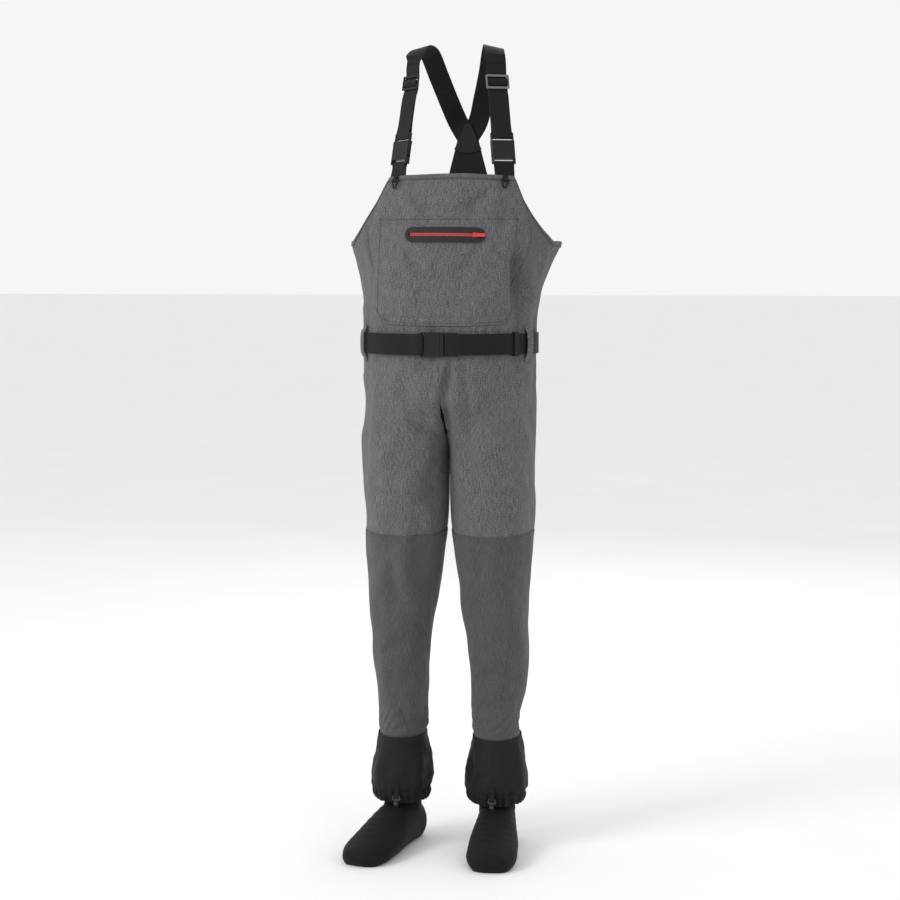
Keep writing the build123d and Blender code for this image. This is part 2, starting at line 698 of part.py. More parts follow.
def cross_patch():
    """The two leather halves that hold the straps where they cross."""
    low = cross_height - patch_height * 0.42
    high = low + patch_height
    half = patch_low_width / 2
    tip = patch_top_width / 2
    neck = low + 0.2 * patch_height
    outline = Polyline((half, low + 2), (half * 0.84, neck), (tip, high), (-tip, high), (-half * 0.84, neck),
                       (-half, low + 2))
    outline += ThreePointArc((-half, low + 2), (0, low - 5), (half, low + 2))
    face = Plane.XZ * Pos(upper_sway, 0) * make_face(outline)
    clear = 0.2 + strap_thickness + layer_gap
    plate = extrude(face, amount=patch_thickness / 2, both=True)
    offset = clear + patch_thickness / 2
    return Pos(0, cross_depth - offset, 0) * plate, Pos(0, cross_depth + offset, 0) * plate


# ================================================================ accessory rings
def ring_frame(side):
    """A frame at an accessory ring's bar, clear of the fabric and its edging."""
    on_fabric = surface_frame(side * strap_half_spacing, bib_top_height - ring_below_edge)
    clear = skin_gap + binding_thickness + layer_gap + tab_thickness + layer_gap + ring_wire / 2 + 0.9
    origin = on_fabric.from_local_coords((0, -clear, 0))
    return Plane(origin=origin, x_dir=on_fabric.x_dir, z_dir=on_fabric.z_dir)


def accessory_ring(side):
    """A pointed ring, and the folded tab that holds its straight bar."""
    frame = ring_frame(side)
    half = ring_width / 2
    tip = 3.0
    top = ring_wire / 2
    outer = make_face(Polyline((-half, top), (half, top), (tip, -ring_drop), (-tip, -ring_drop), close=True))
    outer = fillet(outer.vertices(), 2.0)
    hole = offset(outer, amount=-ring_wire)
    ring = extrude(Plane.XZ * (outer - hole), amount=ring_wire / 2, both=True)
    grip = tab_width / 2 + 0.8
    ring -= block((-grip, -ring_wire, -ring_wire / 2), (grip, ring_wire, ring_wire))
    ring += Rot(0, 90, 0) * Cylinder(ring_wire / 2, 2 * grip + 1)
    fold = ring_wire / 2 + layer_gap + tab_thickness / 2
    low = -ring_wire / 2 - layer_gap - tab_thickness / 2
    points = [(fold + 0.1, 10.0), (fold + 0.1, 2.0), (fold, low + 0.4), (fold - 0.4, low), (0.4 - fold, low),
              (-fold, low + 0.4), (-fold, 2.0), (fold - tab_thickness - 0.1, 7.0),
              (fold - tab_thickness - 0.1, 10.0)]
    tab = band(points, tab_thickness, tab_width)
    return frame.location * ring, frame.location * tab


# ================================================================ belt
def belt_buckle_frame():
    """The belt buckle's frame: local Z runs to the wearer's left and local Y goes inward."""
    length = socket_length + belt_plug_length
    return Plane(origin=(-length / 2, -buckle_depth, belt_height), x_dir=(0, 0, -1), z_dir=(1, 0, 0))


def belt_points():
    """The belt's line in plan: its sewn end, the socket's bar, round the waist, the plug's bar and
    back over itself to its free end beyond the keeper."""
    inner = belt_clear + belt_thickness / 2
    outer = inner + belt_thickness + layer_gap
    start = -(socket_length + belt_plug_length) / 2
    socket_bar = start + buckle_bar / 2
    plug_bar = start + plug_bar_centre()
    plug_end = start + socket_length + belt_plug_length
    fold = bar_half_thickness + layer_gap + belt_thickness / 2
    past = buckle_bar / 2 + layer_gap + belt_thickness / 2

    def on_waist(angle, out):
        turn = radians(angle)
        return ((waist_half_width + out) * sin(turn), -(waist_half_depth + out) * cos(turn))

    points = [on_waist(angle, outer) for angle in range(-42, -20, 3)]
    points += [(socket_bar - 9, -buckle_depth - fold + 0.6), (socket_bar - 1, -buckle_depth - fold),
               (socket_bar + past - 0.7, -buckle_depth - fold), (socket_bar + past, -buckle_depth - fold + 0.7),
               (socket_bar + past, -buckle_depth + fold - 0.7), (socket_bar + past - 0.7, -buckle_depth + fold),
               (socket_bar - 1, -buckle_depth + fold)]
    points += [on_waist(angle, inner) for angle in range(-20, -341, -5)]
    points += [(plug_bar + 1, -buckle_depth + fold), (plug_bar - past + 0.7, -buckle_depth + fold),
               (plug_bar - past, -buckle_depth + fold - 0.7), (plug_bar - past, -buckle_depth - fold + 0.7),
               (plug_bar - past + 0.7, -buckle_depth - fold), (plug_bar + 1, -buckle_depth - fold),
               (plug_end + 2, -buckle_depth - fold)]
    points += [on_waist(angle, outer) for angle in range(24, 61, 3)]
    return points


def belt():
    outline = band_outline(belt_points(), belt_thickness)
    return Pos(0, 0, belt_height) * extrude(outline, amount=webbing_width / 2, both=True)


def belt_keeper():
    """The rectangular ring that holds the belt's free end down."""
    frame = waist_frame(keeper_angle)
    clear = (belt_clear - keeper_wall) / 2
    near = -clear
    far = -(belt_clear + 2 * belt_thickness + layer_gap + clear + 0.4 + keeper_outer_wall)
    tall = webbing_width / 2 + 0.8 + keeper_outer_wall
    ring = block((-keeper_width / 2, far, -tall), (keeper_width / 2, near, tall))
    ring -= block((-keeper_width, far + keeper_outer_wall, -tall + keeper_outer_wall),
                  (keeper_width, near - keeper_wall, tall - keeper_outer_wall))
    return frame.location * ring


def belt_loop(angle):
    """A fabric strip sewn to the trunk above and below the belt and bowed out over it."""
    frame = waist_frame(angle)
    seam = -(belt_clear - 0.2)
    bow = -(belt_clear + belt_thickness + 3.4)
    tall = loop_height / 2
    belt_edge = webbing_width / 2
    points = [(seam, -tall), (seam, -belt_edge - 8), (bow, -belt_edge - 1), (bow - 1.0, 0),
              (bow, belt_edge + 1), (seam, belt_edge + 8), (seam, tall)]
    return frame.location * band(points, loop_thickness, loop_width)


# ================================================================ pocket and zip
def pocket_panel():
    """The chest pocket's outer layer, with the opening that the zip closes."""
    cover = trunk(skin_gap + pocket_wall) - trunk(skin_gap)
    middle = sway(zip_height)
    half = pocket_half_width
    low = pocket_bottom_height
    outline = Polyline((-half, low + 24), (-half, pocket_top_height), (half, pocket_top_height), (half, low + 24))
    outline += ThreePointArc((half, low + 24), (half - 8, low + 9), (half - 26, low + 3))
    outline += ThreePointArc((half - 26, low + 3), (0, low), (26 - half, low + 3))
    outline += ThreePointArc((26 - half, low + 3), (8 - half, low + 9), (-half, low + 24))
    region = extrude(Plane.XZ * Pos(middle, 0) * make_face(outline), amount=chest_half_depth + 40)
    opening = extrude(Plane.XZ * SlotOverall(zip_slot_length, zip_slot_width), amount=40, both=True)
    return (cover & region) - zip_frame().location * opening


def zip_frame():
    """The zip's frame on the pocket: local X along it to the left, local Y into the chest."""
    on_pocket = surface_frame(0, zip_height, offset=skin_gap + pocket_wall)
    return on_pocket.rotated((0, -zip_tilt, 0))


def zip_radius():
    """Radius of the chest's curve at the zip, to the pocket's outer face."""
    half_width, half_depth = trunk_axes(zip_height)
    grow = skin_gap + pocket_wall
    return (half_width + grow) ** 2 / (half_depth + grow)


def curved_plate(inner, outer, height):
    """A plate that follows the chest's curve, between two distances out from the pocket."""
    radius = zip_radius()
    plate = Cylinder(radius + outer, height) - Cylinder(radius + inner, height + 2)
    front = block((-120, -3 * radius, -height), (120, 0, height))
    return Pos(0, radius, 0) * (plate & front)


def zip_parts():
    frame = zip_frame()
    radius = zip_radius()
    outline = SlotOverall(window_length, window_width) - SlotOverall(zip_slot_length, zip_slot_width)
    window = curved_plate(window_out, window_out + window_thickness, window_width + 4)
    window &= extrude(Plane.XZ * outline, amount=60, both=True)
    tape_outline = SlotOverall(zip_slot_length + 6, zip_slot_width + 10)
    tape = curved_plate(tape_out, tape_out + tape_thickness, window_width)
    tape &= extrude(Plane.XZ * tape_outline, amount=60, both=True)
    rows = []
    for side in (-1, 1):
        row = Pos(0, side * (coil_gap + coil_width) / 2) * Rectangle(zip_slot_length - 8, coil_width)
        strip = curved_plate(coil_out, coil_out + coil_thickness, window_width)
        rows.append(strip & extrude(Plane.XZ * row, amount=60, both=True))
    coil = Compound(children=[part.solid() for part in rows])

    angle = degrees(slider_place / radius)
    turned = Pos(0, radius, 0) * Rot(0, 0, angle) * Pos(0, -radius, 0)
    half = slider_length / 2
    body = Pos(0, -slider_out - slider_thickness / 2, 0) * Box(slider_length, slider_thickness, slider_width)
    body = fillet(body.edges().filter_by(Axis.Y), 1.6)
    lug_low = pull_width / 2 - 1.5
    for side in (-1, 1):
        z = side * (lug_low + 0.2 + 0.6)
        lug = Pos(0, -slider_out - slider_thickness - 0.6, z) * Box(3.6, 3.8, 1.2)
        body += lug
    body += Pos(0, -pull_axis_out, 0) * Cylinder(0.6, 2 * lug_low + 1.4)
    knuckle = Pos(0, -pull_axis_out, 0) * Cylinder(knuckle_radius, 2 * lug_low)
    neck = block((0, -pull_axis_out - 0.6, -lug_low), (4.5, -pull_axis_out + 0.6, lug_low))
    tab_outline = Pos(3.4 + (pull_length - 3.4) / 2, 0) * Rectangle(pull_length - 3.4, pull_width)
    tab_outline = fillet(tab_outline.vertices(), 1.8)
    tab = extrude(Plane.XZ * tab_outline, amount=pull_thickness / 2, both=True)
    tab = Pos(0, -pull_axis_out, 0) * tab
    pull = knuckle + neck + tab
    pull -= Pos(0, -pull_axis_out, 0) * Cylinder(0.75, 20)
    place = frame.location
    return {
        "zip_window": place * window,
        "zip_tape": place * tape,
        "zip_coil": place * coil,
        "zip_slider": place * turned * body,
        "zip_pull": place * turned * pull,
    }


# ================================================================ all the pieces
def all_pieces():
    pieces = garment()
    pieces.update(bindings())
    pieces["pocket_panel"] = pocket_panel()
    pieces.update(zip_parts())
    for name, side, foot_turn in (("right", -1, right_foot_turn), ("left", 1, left_foot_turn)):
        upper, sole = sock(side, foot_turn)
        pieces[name + "_sock_upper"] = upper
        pieces[name + "_sock_sole"] = sole
        cover, elastic = gaiter(side)
        pieces[name + "_gaiter"] = cover
        pieces[name + "_gaiter_elastic"] = elastic
        tab, hook = lace_hook(side)
        pieces[name + "_hook_tab"] = tab
        pieces[name + "_lace_hook"] = hook
        place = strap_frame(side, buckle_rise).location
        socket, plug, prong_low, prong_high = buckle(strap_plug_length)
        inner, outer = (prong_high, prong_low) if side < 0 else (prong_low, prong_high)
        pieces[name + "_strap_anchor"] = strap_anchor(side)
        pieces[name + "_buckle_socket"] = place * socket
        pieces[name + "_buckle_plug"] = place * plug
        pieces[name + "_buckle_inner_prong"] = place * inner
        pieces[name + "_buckle_outer_prong"] = place * outer
        pieces[name + "_strap_adjuster"] = adjuster(side)
        pieces[name + "_shoulder_strap"] = shoulder_strap(side)
        ring, ring_tab = accessory_ring(side)
        pieces[name + "_accessory_ring"] = ring
        pieces[name + "_ring_tab"] = ring_tab
        pieces[name + "_belt_loop"] = belt_loop(side * side_loop_angle)
    inner_patch, outer_patch = cross_patch()
    pieces["cross_patch_inner"] = inner_patch
    pieces["cross_patch_outer"] = outer_patch
    place = belt_buckle_frame().location
    socket, plug, upper_prong, lower_prong = buckle(belt_plug_length)
    pieces["belt_webbing"] = belt()
    pieces["belt_buckle_socket"] = place * socket
    pieces["belt_buckle_plug"] = place * plug
    pieces["belt_buckle_upper_prong"] = place * upper_prong
    pieces["belt_buckle_lower_prong"] = place * lower_prong
    pieces["belt_keeper"] = belt_keeper()
    rear = [belt_loop(side * rear_loop_angle).solid() for side in (-1, 1)]
    pieces["rear_belt_loops"] = Compound(children=rear)
    return pieces


if __name__ == "__main__":
    os.makedirs("parts", exist_ok=True)
    for name, piece in all_pieces().items():
        export_step(Pos(0, 0, -shoulder_height) * piece, f"parts/{name}.step")
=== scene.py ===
"""Chest waders: the cloth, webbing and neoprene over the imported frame.

Lengths are metres. Heights in the tables below are above the soles, and every mesh is lowered by
SOLES when it is made, so that it lies in the frame. +X is the wearer's left, the wearer faces -Y.
"""

from math import cos, pi, radians, sin

import bmesh
import bpy
import numpy as np
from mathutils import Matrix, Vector


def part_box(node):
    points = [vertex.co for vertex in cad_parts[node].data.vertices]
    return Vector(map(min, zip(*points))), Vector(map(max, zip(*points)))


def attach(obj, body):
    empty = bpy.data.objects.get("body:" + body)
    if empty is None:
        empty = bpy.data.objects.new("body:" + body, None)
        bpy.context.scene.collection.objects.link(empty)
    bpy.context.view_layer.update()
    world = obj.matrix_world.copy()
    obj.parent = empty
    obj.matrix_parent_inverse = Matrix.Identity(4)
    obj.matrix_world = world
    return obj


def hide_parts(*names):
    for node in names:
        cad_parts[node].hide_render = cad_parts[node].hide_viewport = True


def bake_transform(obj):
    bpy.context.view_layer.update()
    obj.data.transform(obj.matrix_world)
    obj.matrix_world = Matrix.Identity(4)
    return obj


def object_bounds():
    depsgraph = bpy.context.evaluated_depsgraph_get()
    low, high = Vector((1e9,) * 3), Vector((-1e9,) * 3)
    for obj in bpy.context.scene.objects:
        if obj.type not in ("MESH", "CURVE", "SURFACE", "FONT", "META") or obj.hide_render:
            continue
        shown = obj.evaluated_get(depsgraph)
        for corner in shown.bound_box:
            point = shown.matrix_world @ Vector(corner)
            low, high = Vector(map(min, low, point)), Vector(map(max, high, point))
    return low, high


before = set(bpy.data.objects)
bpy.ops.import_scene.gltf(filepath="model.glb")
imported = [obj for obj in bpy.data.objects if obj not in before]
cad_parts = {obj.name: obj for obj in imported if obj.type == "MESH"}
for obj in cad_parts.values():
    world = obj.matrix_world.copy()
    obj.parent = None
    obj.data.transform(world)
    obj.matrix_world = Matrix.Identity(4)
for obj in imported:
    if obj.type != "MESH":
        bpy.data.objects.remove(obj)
CAD_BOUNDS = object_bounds()

bl_info = {
    "name": "Chest waders",
    "version": (1, 0, 0),
    "blender": (4, 5, 0),
    "location": "View3D > Sidebar > Waders",
    "description": "Builds the cloth, webbing and neoprene of a pair of chest waders",
    "category": "Add Mesh",
}

# ---------------------------------------------------------------- heights from the frame
SOLES = CAD_BOUNDS[0].z


def low_of(node):
    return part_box(node)[0].z - SOLES


def high_of(node):
    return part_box(node)[1].z - SOLES


def middle_of(node):
    low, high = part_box(node)
    return (low + high) / 2


BELT = low_of("bib_front_panel")
BIB_CROWN = 0.005                       # how much higher the middle of the bib's edge is
BIB_CORNERS = high_of("bib_front_panel") - BIB_CROWN
SIDE_CORNERS = 1.130                    # where the armholes meet the side seams
BACK_MIDDLE = 1.118
CROTCH = 0.746
KNEE = high_of("right_shin_panel")
LEG_HEM = low_of("right_shin_panel")
GAITER_TOP = high_of("right_gaiter")
GAITER_HEM = low_of("right_gaiter")
SHOULDER = -SOLES
ZIP = 1.142
POCKET_TOP = 1.172
POCKET_BOTTOM = 0.978

# ---------------------------------------------------------------- half sizes of the garment
HIP = (0.158, 0.122)
WAIST = (0.160, 0.119)
CHEST = (0.196, 0.119)
BIB = (0.143, 0.104)
BIB_CORNER = 0.114
SWAY = 0.014                            # how far the bib's top stands to the left
LEG_AXIS = middle_of("left_gaiter").x
THIGH = (0.080, 0.108)
KNEE_HALF = (0.075, 0.086)
ANKLE = (0.0425, 0.050)
GAITER = (0.058, 0.064)
GAITER_MOUTH = (0.048, 0.054)
CLOTH = 0.0014
NEOPRENE = 0.0035
SKIN_GAP = 0.0004
BINDING = 0.009
BINDING_WALL = 0.001

# ---------------------------------------------------------------- webbing
WEBBING = 0.038
STRAP_WALL = 0.0014
BELT_WALL = 0.002
LAYER_GAP = 0.0003
BAR_HALF = 0.0016                       # half the thickness of a bar that webbing turns round
BUCKLE_BAR = 0.0034
BUCKLE_SLOT = 0.0044
BUCKLE_WALL = 0.0106
SOCKET = 0.036
BELT_PLUG = 0.033
PLUG_BAR = SOCKET + 0.0003 + 0.0064 + BUCKLE_SLOT + BUCKLE_BAR / 2
STRAP_SPACING = 0.098
STRAP_LEAN = (0.105, 0.187)             # inward and backward, per unit of height
STRAP_TURN = {"right": -42.0, "left": 28.0}
STUB_CLEAR = 0.0028
BUCKLE_RISE = 0.026
ADJUSTER_RISE = 0.178
FRONT_RISE = ADJUSTER_RISE + 0.032      # where a strap's front and rear pieces meet
ADJUSTER_HALF = 0.013
ADJUSTER_HALF_WALL = 0.0015
ADJUSTER_BAR = 0.0038
CROSS = (0.130, 1.325)                  # depth and height of the place where the straps cross
BELT_CLEAR = 0.0032
LOOP_ANGLES = {"right_belt_loop": [-68.0], "left_belt_loop": [68.0], "rear_belt_loops": [-140.0, 140.0]}

SIDES = (("right", -1), ("left", 1))


# ================================================================ tables and small sums
def smooth_table(rows, heights):
    """Values at heights on smooth curves through rows of (height, value, ...) that never overshoot."""
    rows = np.array(sorted(rows), float)
    place, value = rows[:, 0], rows[:, 1:]
    run = np.diff(place)[:, None]
    slope = np.diff(value, axis=0) / run
    both = slope[:-1] * slope[1:]
    total = np.where(both > 0, slope[:-1] + slope[1:], 1.0)
    tangent = np.zeros_like(value)
    tangent[1:-1] = np.where(both > 0, 2 * both / total, 0.0)
    tangent[0] = slope[0]
    tangent[-1] = slope[-1]
    height = np.clip(np.asarray(heights, float), place[0], place[-1])
    i = np.clip(np.searchsorted(place, height, side="right") - 1, 0, len(place) - 2)
    t = ((height - place[i]) / (place[i + 1] - place[i]))[..., None]
    step = run[i]
    return (
        value[i] * (1 + 2 * t) * (1 - t) ** 2
        + value[i + 1] * t**2 * (3 - 2 * t)
        + step * tangent[i] * t * (1 - t) ** 2
        + step * tangent[i + 1] * t**2 * (t - 1)
    )


def ease(low, high, value):
    """0 below low, 1 above high and smooth between."""
    t = np.clip((np.asarray(value, float) - low) / (high - low), 0, 1)
    return t * t * (3 - 2 * t)


def bell(value, middle, reach):
    """1 at middle, falling to nothing over a few times reach."""
    return np.exp(-(((np.asarray(value, float) - middle) / reach) ** 2))


def undulation(points, wavelength, seed, waves=14):
    """A soft random swell of about -1 to 1 over points, the same on each run."""
    dice = np.random.default_rng(seed)
    total = np.zeros(points.shape[:-1])
    for _ in range(waves):
        way = dice.normal(size=3)
        way /= np.linalg.norm(way)
        length = wavelength * dice.uniform(0.7, 1.5)
        total += np.sin(points @ way * 2 * pi / length + dice.uniform(0, 2 * pi))
    return total / waves**0.5


TRUNK_ROWS = [
    (CROTCH + 0.026, *HIP),
    (CROTCH + 0.114, *HIP),
    (BELT, *WAIST),
    (BELT + 0.075, WAIST[0] + 0.003, WAIST[1] - 0.001),
    (SIDE_CORNERS - 0.040, 0.92 * CHEST[0], CHEST[1]),
    (SIDE_CORNERS + 0.008, *CHEST),
    (SIDE_CORNERS + 0.060, 0.53 * (CHEST[0] + BIB[0]), 0.506 * (CHEST[1] + BIB[1])),
    (BIB_CORNERS + 0.010, *BIB),
]
SHIN = KNEE - LEG_HEM
LEG_ROWS = [
    (CROTCH + 0.154, 0.78 * LEG_AXIS, THIGH[0], 0.96 * THIGH[1]),
    (CROTCH + 0.084, 0.82 * LEG_AXIS, 1.1 * THIGH[0], 1.07 * THIGH[1]),
    (CROTCH - 0.006, THIGH[0] + 0.001, *THIGH),
    (KNEE + 0.041, THIGH[0] + 0.0005, THIGH[0] - 0.002, KNEE_HALF[1] + 0.006),
    (KNEE, 0.9 * LEG_AXIS, *KNEE_HALF),
    (LEG_HEM + 0.65 * SHIN, 0.98 * LEG_AXIS, 0.83 * KNEE_HALF[0], 0.84 * KNEE_HALF[1]),
    (LEG_HEM + 0.36 * SHIN, 1.02 * LEG_AXIS, 0.71 * KNEE_HALF[0], 0.72 * KNEE_HALF[1]),
    (LEG_HEM + 0.027, LEG_AXIS, ANKLE[0] + 0.0005, ANKLE[1] + 0.002),
    (LEG_HEM - 0.030, LEG_AXIS, ANKLE[0] - 0.0005, ANKLE[1] - 0.002),
]


def sway(height):
    """How far the middle of the garment stands to the left at a height."""
    return SWAY * np.maximum(0.0, np.asarray(height, float) - BELT) / (BIB_CORNERS - BELT)


def trunk_axes(height):
    """Half width and half depth of the trunk at one height, straight between the table's rows."""
    for below, above in zip(TRUNK_ROWS, TRUNK_ROWS[1:]):
        if height <= above[0] or above is TRUNK_ROWS[-1]:
            share = (height - below[0]) / (above[0] - below[0])
            return [low + (high - low) * share for low, high in zip(below[1:], above[1:])]


def trunk_point(along, height, back=False, out=0.0):
    """The point of the trunk at a distance along X from its middle, and the way out of it."""
    half_width, half_depth = (half + out for half in trunk_axes(height))
    depth = half_depth * (1 - (along / half_width) ** 2) ** 0.5
    depth = depth if back else -depth
    outward = np.array([along / half_width**2, depth / half_depth**2, 0.0])
    return np.array([sway(height) + along, depth, height]), outward / np.linalg.norm(outward)


def unit(vector):
    vector = np.asarray(vector, float)
    return vector / np.linalg.norm(vector)


def unit_rows(vectors):
    """Each row of vectors, scaled to a length of 1."""
    return vectors / np.linalg.norm(vectors, axis=1, keepdims=True)


def run_along(line):
    """Each point's distance from the first, measured along the line."""
    return np.concatenate([[0], np.cumsum(np.linalg.norm(np.diff(line, axis=0), axis=1))])


# ================================================================ settings that a user may change
class WaderSizes(bpy.types.PropertyGroup):
    """Sizes of the cloth's folds and stitching."""

    gather_depth: bpy.props.FloatProperty(
        name="Gather depth", description="Depth of the gathers under the belt",
        default=0.0030, unit="LENGTH")
    crease_depth: bpy.props.FloatProperty(
        name="Crease depth", description="Scale of the long creases in the cloth",
        default=1.35, min=0.0, max=2.0)
    crumple: bpy.props.FloatProperty(
        name="Crumple", description="Height of the soft unevenness all over the cloth",
        default=0.0021, unit="LENGTH")
    pleat_depth: bpy.props.FloatProperty(
        name="Pleat depth", description="Depth of the pleats at a gaiter's elastic hem",
        default=0.0042, unit="LENGTH")
    stitch_length: bpy.props.FloatProperty(
        name="Stitch length", description="Length of one stitch along a seam",
        default=0.0030, unit="LENGTH")
    rib_height: bpy.props.FloatProperty(
        name="Rib height", description="Height of the ribs woven along the webbing",
        default=0.00022, unit="LENGTH")


def colour_setting(label, description, default):
    return bpy.props.FloatVectorProperty(
        name=label, description=description, subtype="COLOR", size=3, default=default)


class WaderColours(bpy.types.PropertyGroup):
    """Colours of the cloth and webbing."""

    canvas_dark: colour_setting(
        "Canvas, dark thread", "Darker thread of the bib and thighs", (0.060, 0.060, 0.062))
    canvas_light: colour_setting(
        "Canvas, light thread", "Lighter thread of the bib and thighs", (0.148, 0.146, 0.151))
    shin_dark: colour_setting(
        "Shin, dark thread", "Darker thread of the reinforced shins", (0.040, 0.041, 0.044))
    shin_light: colour_setting(
        "Shin, light thread", "Lighter thread of the reinforced shins", (0.088, 0.091, 0.097))
    gaiter_black: colour_setting(
        "Gaiter", "Ripstop cloth of the gaiters", (0.0085, 0.0085, 0.0095))
    neoprene_black: colour_setting(
        "Neoprene", "Knitted face of the socks", (0.0045, 0.0045, 0.0052))
    webbing_black: colour_setting(
        "Webbing", "Straps and belt", (0.0060, 0.0060, 0.0063))
    zip_red: colour_setting(
        "Zip", "Teeth, slider and pull of the chest zip", (0.52, 0.022, 0.030))


def sizes():
    return bpy.context.scene.wader_sizes


def colours():
    return bpy.context.scene.wader_colours


# ================================================================ shader effects
UV_NAME = "cloth"


def new_group(name, inputs, outputs):
    """An empty shader node group with named sockets, and its input and output nodes."""
    group = bpy.data.node_groups.new(name, "ShaderNodeTree")
    for label, kind, value in inputs:
        socket = group.interface.new_socket(name=label, in_out="INPUT", socket_type=kind)
        if value is not None:
            socket.default_value = value
    for label, kind in outputs:
        group.interface.new_socket(name=label, in_out="OUTPUT", socket_type=kind)
    return group, group.nodes.new("NodeGroupInput"), group.nodes.new("NodeGroupOutput")


def math_node(tree, operation, first, second=None, clamp=False):
    node = tree.nodes.new("ShaderNodeMath")
    node.operation = operation
    node.use_clamp = clamp
    for socket, value in zip(node.inputs, (first, second)):
        if value is None:
            continue
        if isinstance(value, (int, float)):
            socket.default_value = value
        else:
            tree.links.new(value, socket)
    return node.outputs[0]


def stretched_noise(tree, vector, stretch, detail=2.0):
    """Noise over vector, with stretch cells to the metre along each way."""
    spread = tree.nodes.new("ShaderNodeVectorMath")
    spread.operation = "MULTIPLY"
    spread.inputs[1].default_value = stretch
    tree.links.new(vector, spread.inputs[0])
    noise = tree.nodes.new("ShaderNodeTexNoise")
    noise.inputs["Scale"].default_value = 1.0
    noise.inputs["Detail"].default_value = detail
    tree.links.new(spread.outputs[0], noise.inputs["Vector"])
    return noise.outputs["Fac"]


def heather_group():
    """Mottled two-tone yarn: thin streaks along both ways of the weave, and broad unevenness."""
    group, given, made = new_group(
        "heather_yarn",
        [("Cloth", "NodeSocketVector", None), ("Contrast", "NodeSocketFloat", 1.0)],
        [("Light Yarn", "NodeSocketFloat")])
    cloth = given.outputs["Cloth"]
    warp = stretched_noise(group, cloth, (900.0, 60.0, 1.0), 3.0)
    weft = stretched_noise(group, cloth, (240.0, 620.0, 1.0), 3.0)
    broad = stretched_noise(group, cloth, (60.0, 14.0, 1.0), 3.0)
    yarn = math_node(group, "ADD", warp, weft)
    yarn = math_node(group, "SUBTRACT", yarn, 1.0)
    yarn = math_node(group, "MULTIPLY", yarn, given.outputs["Contrast"])
    uneven = math_node(group, "SUBTRACT", broad, 0.5)
    yarn = math_node(group, "ADD", yarn, math_node(group, "MULTIPLY", uneven, 0.45))
    yarn = math_node(group, "ADD", yarn, 0.5, clamp=True)
    group.links.new(yarn, made.inputs["Light Yarn"])
    return group


def weave_group():
    """Height of a plain weave: rounded threads that pass over and under each other."""
    group, given, made = new_group(
        "plain_weave",
        [("Cloth", "NodeSocketVector", None), ("Threads Along", "NodeSocketFloat", 900.0),
         ("Threads Across", "NodeSocketFloat", 900.0)],
        [("Height", "NodeSocketFloat")])
    apart = group.nodes.new("ShaderNodeSeparateXYZ")
    group.links.new(given.outputs["Cloth"], apart.inputs[0])
    along = math_node(group, "MULTIPLY", apart.outputs["X"], given.outputs["Threads Along"])
    across = math_node(group, "MULTIPLY", apart.outputs["Y"], given.outputs["Threads Across"])
    warp = math_node(group, "SINE", math_node(group, "MULTIPLY", along, pi))
    weft = math_node(group, "SINE", math_node(group, "MULTIPLY", across, pi))
    over = math_node(group, "MULTIPLY", warp, weft)
    height = math_node(group, "ADD", math_node(group, "MULTIPLY", over, 0.5), 0.5)
    group.links.new(height, made.inputs["Height"])
    return group


def wear_group():
    """Faint dust and rubbing: broad soft patches and fine specks."""
    group, given, made = new_group(
        "dust_and_rub",
        [("Place", "NodeSocketVector", None), ("Amount", "NodeSocketFloat", 0.3)],
        [("Dust", "NodeSocketFloat")])
    place = given.outputs["Place"]
    patches = stretched_noise(group, place, (9.0, 9.0, 9.0), 3.0)
    specks = stretched_noise(group, place, (420.0, 420.0, 420.0), 1.0)
    patches = math_node(group, "SUBTRACT", patches, 0.42, clamp=True)
    specks = math_node(group, "ADD", math_node(group, "MULTIPLY", specks, 0.6), 0.4)
    dust = math_node(group, "MULTIPLY", patches, specks)
    dust = math_node(group, "MULTIPLY", dust, given.outputs["Amount"], clamp=True)
    group.links.new(dust, made.inputs["Dust"])
    return group


def grain_group():
    """Height of a moulded or tanned grain over a solid piece."""
    group, given, made = new_group(
        "fine_grain",
        [("Place", "NodeSocketVector", None), ("Cells", "NodeSocketFloat", 900.0)],
        [("Height", "NodeSocketFloat"), ("Speckle", "NodeSocketFloat")])
    cells = group.nodes.new("ShaderNodeTexVoronoi")
    cells.feature = "SMOOTH_F1"
    group.links.new(given.outputs["Place"], cells.inputs["Vector"])
    group.links.new(given.outputs["Cells"], cells.inputs["Scale"])
    speckle = stretched_noise(group, given.outputs["Place"], (260.0, 260.0, 260.0), 3.0)
    group.links.new(cells.outputs["Distance"], made.inputs["Height"])
    group.links.new(speckle, made.inputs["Speckle"])
    return group


def effect(name, builder):
    """A shader node group, built the first time that it is asked for."""
    return bpy.data.node_groups.get(name) or builder()


# ================================================================ materials
def start_material(name):
    """A material with its Principled BSDF, and its node tree."""
    material = bpy.data.materials.new(name)
    material.use_nodes = True
    return material, material.node_tree, material.node_tree.nodes["Principled BSDF"]


def place_group(tree, group):
    node = tree.nodes.new("ShaderNodeGroup")
    node.node_tree = group
    return node


def mix_colour(tree, factor, first, second):
    """Linear mix of two colours, each a plain colour or a socket."""
    mix = tree.nodes.new("ShaderNodeMix")
    mix.data_type = "RGBA"
    if isinstance(factor, (int, float)):
        mix.inputs["Factor"].default_value = factor
    else:
        tree.links.new(factor, mix.inputs["Factor"])
    for index, value in ((6, first), (7, second)):
        if isinstance(value, bpy.types.NodeSocket):
            tree.links.new(value, mix.inputs[index])
        else:
            mix.inputs[index].default_value = (*value, 1.0)
    return mix.outputs[2]


def add_bump(tree, shader, height, distance, strength=1.0):
    """Raises the surface by height, a socket, over at most distance."""
    bump = tree.nodes.new("ShaderNodeBump")
    bump.inputs["Distance"].default_value = distance
    bump.inputs["Strength"].default_value = strength
    tree.links.new(height, bump.inputs["Height"])
    tree.links.new(bump.outputs["Normal"], shader.inputs["Normal"])


